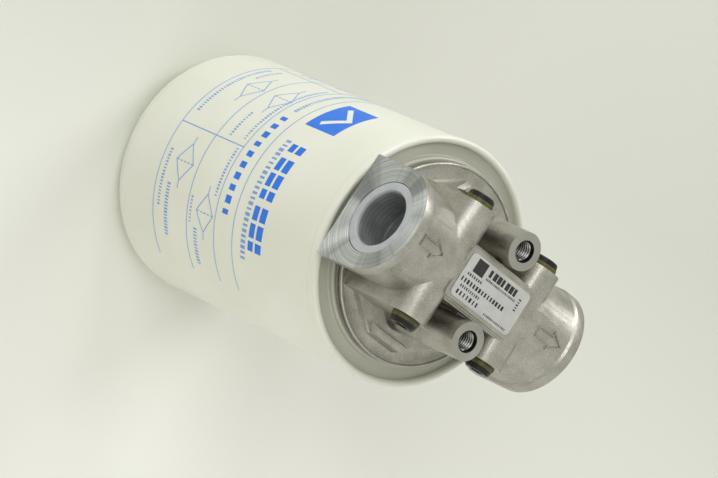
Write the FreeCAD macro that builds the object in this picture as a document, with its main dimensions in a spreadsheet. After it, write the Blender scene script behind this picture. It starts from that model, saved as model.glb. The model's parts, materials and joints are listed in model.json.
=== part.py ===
import FreeCAD, Part
import math
import os
import Sketcher

# Spin-on suction filter: a cast head with an inlet and an outlet boss in line, and a steel canister
# screwed under it. The filter stands on the closed end of its canister, +Z is the canister axis,
# the oil flows towards +X, and the origin is the middle of the closed end. Lengths are millimetres.

SIZES = [
    # Canister shell
    ("can_radius", 48.0, "outer radius of the canister"),
    ("can_height", 139.0, "closed end to the top of the rolled rim"),
    ("can_sheet", 0.8, "thickness of the canister steel"),
    ("can_corner", 10.0, "outer radius of the corner at the closed end"),
    ("foot_width", 4.0, "width of the flat ring that the closed end stands on"),
    ("end_rise", 2.0, "how far the middle of the closed end stands above that ring"),
    ("end_slope", 3.0, "width of the slope between the ring and the raised middle"),
    ("rim_flare", 0.5, "how far the rolled rim stands out beyond the canister"),
    ("rim_depth", 4.4, "height of the rolled rim"),
    ("rim_width", 2.75, "width of the rolled rim, with the cover's edge folded in"),
    ("rim_round", 1.25, "rounding on top of the rim"),
    # Stamped cover of the canister
    ("cover_sheet", 0.9, "thickness of the stamped cover"),
    ("cover_gap", 0.05, "radial clearance of the cover in the canister"),
    ("channel_width", 5.25, "width of the channel inside the rim"),
    ("channel_depth", 2.2, "depth of that channel"),
    ("bead_width", 2.4, "width of the raised ring"),
    ("bead_rise", 0.1, "how far the raised ring stands above the rim"),
    ("groove_depth", 3.4, "rim top down to the seat of the gasket"),
    # Gasket
    ("gasket_room", 0.6, "radial clearance between the gasket and the raised ring"),
    ("gasket_width", 6.5, "radial width of the gasket"),
    ("gasket_seat", 1.2, "how far the cover reaches inwards beyond the gasket"),
    ("gasket_proud", 0.6, "how far the gasket stands above the rim"),
    ("gasket_edge", 0.6, "rounding of the gasket edges"),
    # Threaded base plate
    ("plate_gap", 0.4, "radial clearance of the base plate in the canister"),
    ("plate_thickness", 4.5, "thickness of the base plate"),
    ("plate_collar", 17.0, "outer radius of the threaded collar"),
    ("plate_collar_depth", 6.0, "length of the collar below the plate"),
    ("plate_hole_margin", 3.0, "edge of the cover's opening to the inlet holes"),
    ("plate_hole_radius", 3.9, "radius of one inlet hole"),
    ("plate_hole_count", 8, "number of inlet holes"),
    # Threaded nipple
    ("nipple_radius", 12.55, "radius of the nipple at its thread flanks"),
    ("nipple_bore", 9.6, "radius of the way through the nipple"),
    ("nipple_drop", 13.5, "how far the nipple stands below the head"),
    ("nipple_rise", 11.4, "how far the nipple reaches into the head"),
    ("nipple_chamfer", 0.9, "chamfer at both ends of the nipple"),
    ("thread_gap", 0.06, "radial clearance of the nipple in the base plate"),
    # Filter element
    ("element_space", 4.2, "way for the oil between the canister and the end caps"),
    ("element_gap", 7.0, "base plate down to the top end cap"),
    ("element_foot", 10.8, "closed end of the canister up to the bottom end cap"),
    ("endcap_sheet", 1.0, "thickness of the end caps"),
    ("endcap_lip", 5.0, "height of the lip of the end caps"),
    ("media_gap", 0.4, "radial clearance of the pleats in the end caps"),
    ("media_tube_gap", 0.6, "radial clearance of the pleats on the perforated tube"),
    ("media_paper", 0.9, "thickness of the pleated layer"),
    ("pleat_count", 44, "number of pleats"),
    ("tube_room", 1.44, "radial clearance of the element's seal in the perforated tube"),
    ("tube_sheet", 0.7, "thickness of the perforated tube"),
    ("tube_hole_radius", 4.0, "radius of one hole of the tube"),
    ("tube_hole_rows", 4, "rows of holes along the tube"),
    ("tube_hole_columns", 6, "holes around the tube"),
    ("grommet_lip", 3.4, "width of the rubber seal of the element"),
    ("grommet_height", 6.5, "height of that seal"),
    ("grommet_groove", 1.2, "depth of the groove that holds the top end cap"),
    ("grommet_gap", 0.06, "radial clearance of the seal on the collar"),
    ("grommet_room", 0.05, "radial clearance of the top end cap in that groove"),
    ("lift_spring_radius", 24.0, "mean radius of the spring under the element"),
    ("lift_spring_wire", 1.3, "wire radius of that spring"),
    ("lift_spring_turns", 2.5, "turns of that spring"),
    # Head flange
    ("flange_cover", 1.9, "how far the head flange reaches beyond the gasket"),
    ("flange_height", 3.6, "height of the flange rim above its sealing face"),
    ("flange_rim", 1.1, "width of the flange rim"),
    ("flange_floor", 3.0, "height of the floor inside the rim"),
    ("flange_slot", 0.8, "width and depth of the slot around the flange edge"),
    ("chamber_land", 2.6, "width of the flat ring between the gasket and the oil chamber"),
    ("chamber_depth", 2.4, "depth of that chamber"),
    ("nipple_boss", 16.4, "radius of the boss that holds the nipple"),
    ("deck_height", 5.4, "height of the eight-sided deck above the sealing face"),
    ("deck_inset_x", 11.9, "edge of the flange to the ends of the deck"),
    ("deck_inset_y", 5.1, "edge of the flange to the long sides of the deck"),
    ("deck_inset_end", 17.2, "edge of the flange to the corners at the ends of the deck"),
    ("deck_flat", 7.8, "half length of the straight long sides"),
    ("deck_corner", 0.8, "corner radius of the deck"),
    ("deck_draft", 12.0, "slope of the deck sides in degrees"),
    ("bar_height", 8.4, "sealing face up to the top of the grip bars on the long sides"),
    ("bar_width", 5.9, "width of a grip bar at its foot"),
    ("bar_slant", 4.0, "how much longer a grip bar is on its inner side, at each end"),
    ("rim_edge", 0.35, "rounding of the flange rim"),
    ("hub_height", 17.0, "sealing face up to the top of the nipple boss"),
    # Port bosses
    ("port_rise", 23.8, "sealing face up to the port axis"),
    ("port_face", 48.0, "canister axis to the port faces"),
    ("port_foot", 3.4, "height of the underside of the port bosses"),
    ("collar_radius", 21.3, "half width of the port collars"),
    ("collar_width", 4.0, "width of the port collars"),
    ("barrel_outer", 20.4, "half width of the boss behind its collar"),
    ("barrel_inner", 18.2, "half width of the boss at the label pad"),
    ("barrel_start", 16.0, "canister axis to the inner end of the port bosses"),
    ("collar_slope", 0.8, "length of the slope between boss and collar"),
    ("slot_wall", 1.6, "wall between the inlet slot and the end of the inlet way"),
    ("slot_length", 10.0, "length of the slot from the inlet way down to the chamber"),
    ("slot_half_width", 8.0, "half width of that slot"),
    ("slot_corner", 1.5, "corner radius of that slot"),
    ("port_thread", 12.06, "radius of the tapped ports at the thread crests"),
    ("port_depth", 18.0, "depth of the tapped ports"),
    ("port_recess", 14.9, "radius of the recess at the port mouth"),
    ("port_recess_depth", 1.6, "depth of that recess"),
    ("gallery_radius", 10.4, "radius of the oil ways"),
    # Bypass valve
    ("wall_outlet_side", 10.0, "canister axis to the outlet side of the wall between the oil ways"),
    ("wall_thickness", 5.0, "thickness of that wall"),
    ("bypass_bore", 6.2, "radius of the valve hole in the wall"),
    ("poppet_radius", 7.8, "radius of the valve disc"),
    ("poppet_thickness", 2.2, "thickness of the valve disc"),
    ("poppet_stem", 2.0, "radius of the valve stem"),
    ("poppet_stem_length", 22.0, "length of the valve stem"),
    ("valve_spring_radius", 5.2, "mean radius of the valve spring"),
    ("valve_spring_wire", 0.55, "wire radius of the valve spring"),
    ("valve_spring_length", 18.3, "fitted length of the valve spring"),
    ("valve_spring_turns", 6.5, "turns of the valve spring"),
    ("guide_thickness", 3.0, "thickness of the stem guide"),
    ("guide_hub", 4.0, "radius of the hub of the stem guide"),
    ("guide_rim", 1.6, "width of the rim of the stem guide"),
    ("guide_gap", 0.05, "radial clearance of the stem and of the guide"),
    ("guide_window", 3.0, "half width of the windows of the stem guide"),
    ("guide_windows", 4, "number of windows of the stem guide"),
    ("snap_ring_depth", 0.8, "how far the snap ring sits in the wall"),
    ("snap_ring_width", 1.0, "width of the snap ring"),
    ("snap_ring_band", 1.7, "radial width of the snap ring"),
    ("snap_ring_opening", 3.0, "gap in the snap ring"),
    # Gauge ports
    ("gauge_x", 21.0, "canister axis to the gauge port axes"),
    ("gauge_height", 33.9, "sealing face up to the gauge port axes"),
    ("gauge_radius", 7.7, "radius of the rounded top of the gauge port blocks"),
    ("gauge_face_inlet", 24.2, "canister axis to the faces of the gauge ports on the inlet side"),
    ("gauge_face_outlet", 20.6, "canister axis to the faces of the gauge ports on the outlet side"),
    ("gauge_thread", 4.3, "radius of the tapped gauge ports"),
    ("gauge_depth", 9.5, "depth of the tapped gauge ports"),
    ("gauge_way", 1.6, "radius of the drilling between gauge port and oil way"),
    ("plug_radius", 5.4, "radius of the head of a gauge plug"),
    ("plug_head", 2.1, "height of the head of a gauge plug"),
    ("plug_taper", 0.5, "how much the head narrows towards its end"),
    ("plug_thread_length", 8.0, "length of the thread of a gauge plug"),
    ("plug_gap", 0.06, "radial clearance of a gauge plug in its port"),
    ("plug_socket", 2.5, "half width of the hexagon socket"),
    ("plug_socket_depth", 1.9, "depth of the hexagon socket"),
    ("plug_groove", 0.35, "depth of the grooves around the head"),
    ("seal_thickness", 1.8, "thickness of a gauge port seal"),
    ("seal_proud", 0.25, "how far a seal stands out around the plug head"),
    # Spine with the label pad, and mounting bosses
    ("spine_half_x", 20.4, "half length of the spine under the label pad"),
    ("spine_half_y", 11.6, "half width of the spine"),
    ("spine_height", 39.6, "sealing face up to the spine's shoulder"),
    ("pad_half_x", 19.7, "half length of the label pad"),
    ("pad_half_y", 11.0, "half width of the label pad"),
    ("pad_height", 42.0, "sealing face up to the label pad"),
    ("pad_step", 0.8, "width of the step around the label pad"),
    ("pad_step_height", 1.2, "height of that step"),
    ("pad_corner", 1.6, "corner radius of the label pad"),
    ("label_length", 34.4, "length of the label"),
    ("label_width", 17.6, "width of the label"),
    ("label_corner", 2.0, "corner radius of the label"),
    ("label_thickness", 0.2, "thickness of the label"),
    ("label_glue", 0.1, "thickness of the glue under the label"),
    ("boss_spacing", 39.0, "distance between the mounting holes"),
    ("boss_radius", 7.4, "radius of the mounting bosses"),
    ("boss_height", 45.6, "sealing face up to the mounting faces"),
    ("boss_draft", 0.4, "how much a mounting boss widens towards its foot"),
    ("boss_rib_width", 6.0, "width of the rib between a mounting boss and the spine"),
    ("boss_rib_height", 35.6, "sealing face up to the top of that rib"),
    ("web_height", 18.4, "sealing face up to the top of the webs beside the mounting bosses"),
    ("web_end", 19.4, "canister axis to the edge of a web at the gauge port blocks"),
    ("web_flat", 3.5, "half length of the straight edge of a web"),
    ("web_draft", 5.0, "slope of the web sides in degrees"),
    ("mount_hole", 3.4, "radius of the tapped mounting holes"),
    ("mount_depth", 20.0, "depth of the tapped mounting holes"),
    ("mount_chamfer", 0.9, "chamfer at the mouth of the mounting holes"),
    # Cap in the inlet port
    ("cap_flange", 14.5, "radius of the flange of the cap"),
    ("cap_flange_thickness", 1.4, "thickness of that flange"),
    ("cap_gap", 0.1, "radial clearance of the cap in the port"),
    ("cap_wall", 0.86, "wall of the cap"),
    ("cap_depth", 14.5, "length of the cap behind its flange"),
    # Casting
    ("cast_wall", 1.5, "least wall around the oil chamber"),
    ("cap_edge", 0.8, "rounding at the closed end of the cap"),
]


class Size:
    """A length in millimetres together with the sheet formula that gives it."""

    def __init__(self, mm, formula):
        self.mm = float(mm)
        self.formula = formula

    @staticmethod
    def of(value):
        return value if isinstance(value, Size) else Size(value, repr(value))

    def __add__(self, other):
        other = Size.of(other)
        return Size(self.mm + other.mm, f"({self.formula} + {other.formula})")

    def __radd__(self, other):
        return Size.of(other) + self

    def __sub__(self, other):
        other = Size.of(other)
        return Size(self.mm - other.mm, f"({self.formula} - {other.formula})")

    def __rsub__(self, other):
        return Size.of(other) - self

    def __mul__(self, other):
        other = Size.of(other)
        return Size(self.mm * other.mm, f"({self.formula} * {other.formula})")

    def __rmul__(self, other):
        return Size.of(other) * self

    def __truediv__(self, other):
        other = Size.of(other)
        return Size(self.mm / other.mm, f"({self.formula} / {other.formula})")

    def __neg__(self):
        return Size(-self.mm, f"(0 - {self.formula})")


doc = FreeCAD.newDocument("suction_filter")
sheet = doc.addObject("Spreadsheet::Sheet", "Sizes")
for row, (alias, value, meaning) in enumerate(SIZES, start=1):
    sheet.set(f"A{row}", meaning)
    sheet.set(f"B{row}", str(value))
    sheet.setAlias(f"B{row}", alias)
doc.recompute()


def size(alias):
    """The value of one cell, with its formula."""
    return Size(sheet.get(alias), f"Sizes.{alias}")


def bind(thing, prop, value):
    """Ties a property to the sheet."""
    thing.setExpression(prop, Size.of(value).formula)


# Working with bodies and sketches

nodes = []


def new_body(name, at=(0, 0, 0), turn=(0, 0, 1), degrees=0):
    """A body with its label, placed at a point and turned about an axis."""
    body = doc.addObject("PartDesign::Body", name)
    body.Label = name
    body.Placement = FreeCAD.Placement(
        FreeCAD.Vector(*[Size.of(value).mm for value in at]),
        FreeCAD.Rotation(FreeCAD.Vector(*turn), degrees),
    )
    for axis, value in zip("xyz", at):
        bind(body, f"Placement.Base.{axis}", value)
    nodes.append(body)
    return body


def origin_plane(body, role):
    """One of the three origin planes of a body."""
    return [feature for feature in body.Origin.OriginFeatures if feature.Role == role][0]


def new_sketch(body, name, role="XZ_Plane", lift=0, up=0, across=0):
    """A sketch on an origin plane, lifted off it and shifted in it."""
    sketch = body.newObject("Sketcher::SketchObject", name)
    sketch.AttachmentSupport = [(origin_plane(body, role), "")]
    sketch.MapMode = "FlatFace"
    for axis, value in zip("xyz", (across, up, lift)):
        bind(sketch, f"AttachmentOffset.Base.{axis}", value)
    return sketch


def add_bound(sketch, constraints):
    """Adds constraints, each with the size it is tied to or None."""
    numbers = sketch.addConstraint([constraint for constraint, _ in constraints])
    for number, (_, value) in zip(numbers, constraints):
        if value is not None:
            bind(sketch, f"Constraints[{number}]", value)


def place_point(geometry, vertex, u, v):
    """Constraints that hold a vertex at u, v from the sketch origin."""
    return [
        (Sketcher.Constraint("DistanceX", -1, 1, geometry, vertex, u.mm), u),
        (Sketcher.Constraint("DistanceY", -1, 1, geometry, vertex, v.mm), v),
    ]


def rounded_corner(before, corner, after, radius):
    """The two tangent points and the centre of an arc that rounds a corner."""
    back = (before - corner).normalize()
    ahead = (after - corner).normalize()
    half = back.getAngle(ahead) / 2
    reach = radius / math.tan(half)
    centre = corner + (back + ahead).normalize() * (radius / math.sin(half))
    return corner + back * reach, corner + ahead * reach, centre


def outline(sketch, corners):
    """A closed outline. A corner is u, v, or u, v and the radius that rounds it."""
    count = len(corners)
    first = sketch.GeometryCount
    places = [(Size.of(corner[0]), Size.of(corner[1])) for corner in corners]
    radii = [Size.of(corner[2]) if len(corner) > 2 else None for corner in corners]
    points = [FreeCAD.Vector(u.mm, v.mm, 0) for u, v in places]
    ends = []
    for i in range(count):
        if radii[i] is None:
            ends.append((points[i], points[i], None))
        else:
            following = points[(i + 1) % count]
            ends.append(rounded_corner(points[i - 1], points[i], following, radii[i].mm))
    sides = [Part.LineSegment(ends[i][1], ends[(i + 1) % count][0]) for i in range(count)]
    sketch.addGeometry(sides, False)
    held = []
    for i in range(count):
        before = first + (i - 1) % count
        after = first + i
        if radii[i] is None:
            held.append((Sketcher.Constraint("Coincident", before, 2, after, 1), None))
            held += place_point(after, 1, *places[i])
            continue
        start, end, centre = ends[i]
        turn = (points[i] - points[i - 1]).cross(points[(i + 1) % count] - points[i]).z
        start_angle = math.atan2(start.y - centre.y, start.x - centre.x)
        end_angle = math.atan2(end.y - centre.y, end.x - centre.x)
        entry, leave = (1, 2) if turn > 0 else (2, 1)
        if turn < 0:
            start_angle, end_angle = end_angle, start_angle
        circle = Part.Circle(centre, FreeCAD.Vector(0, 0, 1), radii[i].mm)
        arc = sketch.addGeometry(Part.ArcOfCircle(circle, start_angle, end_angle), False)
        point = sketch.addGeometry(Part.Point(points[i]), True)
        held += place_point(point, 1, *places[i])
        held.append((Sketcher.Constraint("PointOnObject", point, 1, before), None))
        held.append((Sketcher.Constraint("PointOnObject", point, 1, after), None))
        held.append((Sketcher.Constraint("Tangent", before, 2, arc, entry), None))
        held.append((Sketcher.Constraint("Tangent", after, 1, arc, leave), None))
        held.append((Sketcher.Constraint("Radius", arc, radii[i].mm), radii[i]))
    add_bound(sketch, held)


def circle_at(sketch, u, v, radius):
    """A circle in a sketch."""
    u, v, radius = Size.of(u), Size.of(v), Size.of(radius)
    circle = Part.Circle(FreeCAD.Vector(u.mm, v.mm, 0), FreeCAD.Vector(0, 0, 1), radius.mm)
    number = sketch.addGeometry(circle, False)
    held = place_point(number, 3, u, v)
    held.append((Sketcher.Constraint("Radius", number, radius.mm), radius))
    add_bound(sketch, held)


def box_outline(sketch, low_u, high_u, low_v, high_v, corner=None):
    """A rectangle, with rounded corners if a radius is given."""
    ends = () if corner is None else (corner,)
    places = [(low_u, low_v), (high_u, low_v), (high_u, high_v), (low_u, high_v)]
    outline(sketch, [place + ends for place in places])


def add_turned(body, name, corners, role="XZ_Plane", axis="V_Axis", up=0, across=0):
    """A revolved solid."""
    sketch = new_sketch(body, f"{name}_section", role, up=up, across=across)
    outline(sketch, corners)
    turned = body.newObject("PartDesign::Revolution", name)
    turned.Profile = sketch
    turned.ReferenceAxis = (sketch, [axis])
    turned.Angle = 360
    return turned


def cut_turned(body, name, corners, role="XZ_Plane", axis="V_Axis", up=0, across=0):
    """A revolved cut."""
    sketch = new_sketch(body, f"{name}_section", role, up=up, across=across)
    outline(sketch, corners)
    turned = body.newObject("PartDesign::Groove", name)
    turned.Profile = sketch
    turned.ReferenceAxis = (sketch, [axis])
    turned.Angle = 360
    return turned


def add_pad(body, name, sketch, length, symmetric=False):
    """A padded solid, along the sketch normal or to both sides of it."""
    pad = body.newObject("PartDesign::Pad", name)
    pad.Profile = sketch
    if symmetric:
        pad.SideType = "Symmetric"
    bind(pad, "Length", length)
    return pad


def cut_pocket(body, name, sketch, length, symmetric=False, reverse=False):
    """A pocket against the sketch normal, along it, or to both sides of it."""
    pocket = body.newObject("PartDesign::Pocket", name)
    pocket.Profile = sketch
    pocket.Type = 0
    if symmetric:
        pocket.SideType = "Symmetric"
    pocket.Reversed = reverse
    bind(pocket, "Length", length)
    return pocket


def mirror(body, name, features, role):
    """Mirrors features in an origin plane."""
    mirrored = body.newObject("PartDesign::Mirrored", name)
    mirrored.Originals = features
    mirrored.MirrorPlane = (origin_plane(body, role), [""])
    body.Tip = mirrored
    return mirrored


def polar(radius, degrees):
    """The two sketch lengths of a point at a radius and an angle."""
    turn = math.radians(degrees.mm)
    reach = f"{radius.formula} * %s({degrees.formula} * 1 deg)"
    return (
        Size(radius.mm * math.cos(turn), "(" + reach % "cos" + ")"),
        Size(radius.mm * math.sin(turn), "(" + reach % "sin" + ")"),
    )


def around(body, name, features, count, role="Z_Axis"):
    """Repeats features around an origin axis."""
    pattern = body.newObject("PartDesign::PolarPattern", name)
    pattern.Originals = features
    pattern.Axis = (origin_plane(body, role), [""])
    pattern.Angle = 360
    bind(pattern, "Occurrences", count)
    body.Tip = pattern
    return pattern


# Heights and radii that several pieces share

can_inner = size("can_radius") - size("can_sheet")
rim_inner = size("can_radius") + size("rim_flare") - size("rim_width")
bead_outer = rim_inner - size("channel_width")
gasket_outer = bead_outer - size("bead_width") - size("gasket_room")
gasket_inner = gasket_outer - size("gasket_width")
cover_hole = gasket_inner - size("gasket_seat")
flange_radius = gasket_outer + size("flange_cover")
chamber_outer = gasket_inner - size("chamber_land")
element_radius = can_inner - size("element_space")
grommet_outer = size("plate_collar") + size("grommet_gap") + size("grommet_lip")
grommet_neck = grommet_outer - size("grommet_groove")
tube_radius = grommet_outer + size("tube_room") + size("tube_sheet")
media_inner = tube_radius + size("media_tube_gap")
channel_floor = size("can_height") - size("channel_depth")
seal_face = size("can_height") + size("gasket_proud")
cover_seat = size("can_height") - size("groove_depth") - size("cover_sheet")
plate_bottom = cover_seat - size("plate_thickness")
top_cap_top = plate_bottom - size("element_gap")
can_floor = size("end_rise") + size("can_sheet")
bottom_cap_low = can_floor + size("element_foot")
port_axis = seal_face + size("port_rise")
gauge_axis = seal_face + size("gauge_height")
deck_top = seal_face + size("deck_height")
pad_top = seal_face + size("pad_height")
boss_top = seal_face + size("boss_height")
wall_inlet_side = size("wall_outlet_side") + size("wall_thickness")
guide_near = size("poppet_thickness") + size("valve_spring_length") - size("wall_outlet_side")

# The two sides of the head that carry gauge ports: name, side of the canister axis, face of the ports
GAUGE_SIDES = [("inlet", -1, size("gauge_face_inlet")), ("outlet", 1, size("gauge_face_outlet"))]


def make_can_shell():
    """Deep-drawn canister: raised end, standing ring, rounded corner and a rim rolled over the cover."""
    body = new_body("can_shell")
    radius, sheet_mm, top = size("can_radius"), size("can_sheet"), size("can_height")
    corner = size("can_corner")
    foot_outer = radius - corner
    foot_inner = foot_outer - size("foot_width")
    middle = foot_inner - size("end_slope")
    rim_low = top - size("rim_depth")
    flare = size("rim_flare")
    rim = radius + flare
    inner = can_inner
    add_turned(body, "drawn", [
        (0, size("end_rise")),
        (middle, size("end_rise")),
        (foot_inner, 0),
        (radius, 0, corner),
        (radius, rim_low - flare),
        (rim, rim_low),
        (rim, top, size("rim_round")),
        (rim_inner, top, size("rim_round")),
        (rim_inner, channel_floor),
        (inner, channel_floor),
        (inner, sheet_mm, corner - sheet_mm),
        (foot_inner, sheet_mm),
        (middle, can_floor),
        (0, can_floor),
    ])
    return body


def make_seam_cover():
    """Stamped cover: its edge under the rim, a channel, a raised ring and the gasket seat."""
    body = new_body("seam_cover")
    t = size("cover_sheet")
    seat = cover_seat + t
    outer = can_inner - size("cover_gap")
    crown = size("can_height") + size("bead_rise")
    bead = bead_outer
    bead_inner = bead - size("bead_width")
    bend = t * 0.8
    add_turned(body, "stamped", [
        (cover_hole, cover_seat),
        (cover_hole, seat),
        (bead_inner, seat),
        (bead_inner, crown, bend),
        (bead, crown, bend),
        (bead, channel_floor, bend),
        (outer, channel_floor),
        (outer, cover_seat),
        (outer - t, cover_seat),
        (outer - t, channel_floor - t),
        (bead - t, channel_floor - t),
        (bead - t, crown - t),
        (bead_inner + t, crown - t),
        (bead_inner + t, cover_seat),
    ])
    return body


def make_can_gasket():
    """Rubber ring in the cover's seat, pressed against the head flange."""
    body = new_body("can_gasket")
    low = cover_seat + size("cover_sheet")
    inner, outer, edge = gasket_inner, gasket_outer, size("gasket_edge")
    add_turned(body, "moulded", [
        (inner, low, edge),
        (outer, low, edge),
        (outer, seal_face, edge),
        (inner, seal_face, edge),
    ])
    return body


def make_base_plate():
    """Thick steel plate with a threaded collar and a circle of inlet holes."""
    body = new_body("base_plate")
    bore = size("nipple_radius") + size("thread_gap")
    rim = can_inner - size("plate_gap")
    hole_radius = size("plate_hole_radius")
    collar_low = plate_bottom - size("plate_collar_depth")
    add_turned(body, "pressed", [
        (bore, collar_low),
        (size("plate_collar"), collar_low),
        (size("plate_collar"), plate_bottom),
        (rim, plate_bottom),
        (rim, cover_seat),
        (bore, cover_seat),
    ])
    sketch = new_sketch(body, "inlet_hole_outline", "XY_Plane", lift=plate_bottom)
    circle_at(sketch, cover_hole - size("plate_hole_margin") - hole_radius, 0, hole_radius)
    hole = cut_pocket(body, "inlet_hole", sketch, size("plate_thickness"), reverse=True)
    around(body, "inlet_holes", [hole], size("plate_hole_count"))
    return body


def make_nipple():
    """Hollow threaded stud that the canister screws on."""
    body = new_body("spin_on_nipple")
    low = seal_face - size("nipple_drop")
    high = seal_face + size("nipple_rise")
    outer, inner, edge = size("nipple_radius"), size("nipple_bore"), size("nipple_chamfer")
    add_turned(body, "turned", [
        (inner, low),
        (outer - edge, low),
        (outer, low + edge),
        (outer, high - edge),
        (outer - edge, high),
        (inner, high),
    ])
    return body


def make_end_cap(name, face, outward, hole):
    """Pressed end disc of the element, with a lip around the pleats."""
    body = new_body(name)
    t, radius = size("endcap_sheet"), element_radius
    inside = face - outward * t
    lip = face - outward * size("endcap_lip")
    add_turned(body, "pressed", [
        (hole, face),
        (radius, face),
        (radius, lip),
        (radius - t, lip),
        (radius - t, inside),
        (hole, inside),
    ])
    return body


def make_filter_media():
    """Pleated layer, closed into a ring. One pleat is drawn and repeated."""
    body = new_body("filter_media")
    low = bottom_cap_low + size("endcap_sheet")
    high = top_cap_top - size("endcap_sheet")
    outer = element_radius - size("endcap_sheet") - size("media_gap")
    inner, paper = media_inner, size("media_paper")
    half = Size.of(180) / size("pleat_count")
    sketch = new_sketch(body, "pleat_outline", "XY_Plane", lift=low)
    outline(sketch, [
        polar(inner + paper, -half),
        (outer, 0),
        polar(inner + paper, half),
        polar(inner, half),
        (outer - paper * 2, 0),
        polar(inner, -half),
    ])
    pleat = add_pad(body, "pleat", sketch, high - low)
    around(body, "pleats", [pleat], size("pleat_count"))
    return body


def make_core_tube():
    """Perforated tube inside the pleats."""
    body = new_body("core_tube")
    low = bottom_cap_low + size("endcap_sheet")
    high = top_cap_top - size("endcap_sheet")
    outer = tube_radius
    inner = outer - size("tube_sheet")
    add_turned(body, "rolled", [(inner, low), (outer, low), (outer, high), (inner, high)])
    rows = int(size("tube_hole_rows").mm)
    pitch = (high - low) / (size("tube_hole_rows") + 1)
    sketch = new_sketch(body, "hole_column", "YZ_Plane")
    for row in range(rows):
        circle_at(sketch, 0, low + pitch * (row + 1), size("tube_hole_radius"))
    column = cut_pocket(body, "column", sketch, outer + 1, reverse=True)
    around(body, "columns", [column], size("tube_hole_columns"))
    return body


def make_grommet():
    """Rubber seal between the element and the collar of the base plate."""
    body = new_body("element_grommet")
    inner = size("plate_collar") + size("grommet_gap")
    outer = grommet_outer
    low = top_cap_top - size("endcap_sheet") - size("grommet_height") / 3
    high = low + size("grommet_height")
    add_turned(body, "moulded", [
        (inner, low),
        (outer, low),
        (outer, top_cap_top - size("endcap_sheet")),
        (grommet_neck, top_cap_top - size("endcap_sheet")),
        (grommet_neck, top_cap_top),
        (outer, top_cap_top),
        (outer, high),
        (inner, high),
    ])
    return body


def make_spring(name, at, turn, degrees, radius, wire, length, turns):
    """Coiled spring between two flat faces, along the local Z axis."""
    body = new_body(name, at, turn, degrees)
    sketch = new_sketch(body, "wire_outline", "XZ_Plane")
    circle_at(sketch, radius, wire, wire)
    coil = body.newObject("PartDesign::AdditiveHelix", "coil")
    coil.Profile = sketch
    coil.ReferenceAxis = (sketch, ["V_Axis"])
    coil.Mode = "height-turns-angle"
    bind(coil, "Height", length - wire * 2)
    bind(coil, "Turns", turns)
    return body


def arch_outline(sketch, across, half_width, low, axis):
    """A flat foot, two straight sides and a half-round top."""
    across, half_width = Size.of(across), Size.of(half_width)
    low, axis = Size.of(low), Size.of(axis)
    left, right = across - half_width, across + half_width
    first = sketch.GeometryCount
    corners = [
        FreeCAD.Vector(right.mm, axis.mm, 0),
        FreeCAD.Vector(right.mm, low.mm, 0),
        FreeCAD.Vector(left.mm, low.mm, 0),
        FreeCAD.Vector(left.mm, axis.mm, 0),
    ]
    sketch.addGeometry([Part.LineSegment(corners[i], corners[i + 1]) for i in range(3)], False)
    centre = FreeCAD.Vector(across.mm, axis.mm, 0)
    circle = Part.Circle(centre, FreeCAD.Vector(0, 0, 1), half_width.mm)
    arc = sketch.addGeometry(Part.ArcOfCircle(circle, 0, math.pi), False)
    held = [
        (Sketcher.Constraint("Coincident", first, 2, first + 1, 1), None),
        (Sketcher.Constraint("Coincident", first + 1, 2, first + 2, 1), None),
        (Sketcher.Constraint("Tangent", first, 1, arc, 1), None),
        (Sketcher.Constraint("Tangent", first + 2, 2, arc, 2), None),
        (Sketcher.Constraint("Vertical", first), None),
        (Sketcher.Constraint("Vertical", first + 2), None),
        (Sketcher.Constraint("Horizontal", first + 1), None),
        (Sketcher.Constraint("DistanceY", -1, 1, first + 1, 1, low.mm), low),
        (Sketcher.Constraint("Radius", arc, half_width.mm), half_width),
    ]
    held += place_point(arc, 3, across, axis)
    add_bound(sketch, held)


def add_loft(body, name, sketches):
    """A ruled solid through sketches on parallel planes."""
    loft = body.newObject("PartDesign::AdditiveLoft", name)
    loft.Profile = sketches[0]
    loft.Sections = sketches[1:]
    loft.Ruled = True
    return loft


def add_head_flange(body):
    """Round flange with rim, edge slot, chamber and nipple boss, then the deck with its grip bars."""
    s = seal_face
    outer, slot = flange_radius, size("flange_slot")
    rim = outer - size("flange_rim")
    hub = chamber_outer + size("cast_wall")
    ceiling = s + size("chamber_depth")
    slot_low = s + size("flange_height") / 2 - slot / 2
    top = s + size("flange_height")
    add_turned(body, "flange", [
        (0, s),
        (size("nipple_boss"), s),
        (size("nipple_boss"), ceiling),
        (chamber_outer, ceiling),
        (chamber_outer, s),
        (outer, s),
        (outer, slot_low),
        (outer - slot, slot_low),
        (outer - slot, slot_low + slot),
        (outer, slot_low + slot),
        (outer, top, size("rim_edge")),
        (rim, top, size("rim_edge")),
        (rim, s + size("flange_floor")),
        (hub, s + size("flange_floor")),
        (hub, deck_top),
        (size("nipple_boss"), deck_top),
        (size("nipple_boss"), s + size("hub_height")),
        (0, s + size("hub_height")),
    ])
    x, y = outer - size("deck_inset_x"), outer - size("deck_inset_y")
    side, flat = outer - size("deck_inset_end"), size("deck_flat")
    corners = [(x, -side), (x, side), (flat, y), (-flat, y), (-x, side), (-x, -side), (-flat, -y), (flat, -y)]
    base = size("chamber_depth") / 2
    sketch = new_sketch(body, "deck_outline", "XY_Plane", lift=s + base)
    outline(sketch, [corner + (size("deck_corner"),) for corner in corners])
    deck = add_pad(body, "deck", sketch, size("deck_height") - base)
    bind(deck, "TaperAngle", -size("deck_draft"))
    wide, inside = flat + size("bar_slant"), y - size("bar_width")
    sketch = new_sketch(body, "grip_bar_outline", "XY_Plane", lift=s + base)
    outline(sketch, [(-wide, inside), (wide, inside), (flat, y), (-flat, y)])
    bar = add_pad(body, "grip_bar", sketch, size("bar_height") - base)
    bind(bar, "TaperAngle", -size("deck_draft"))
    return mirror(body, "grip_bars", [bar], "XZ_Plane")


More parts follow.
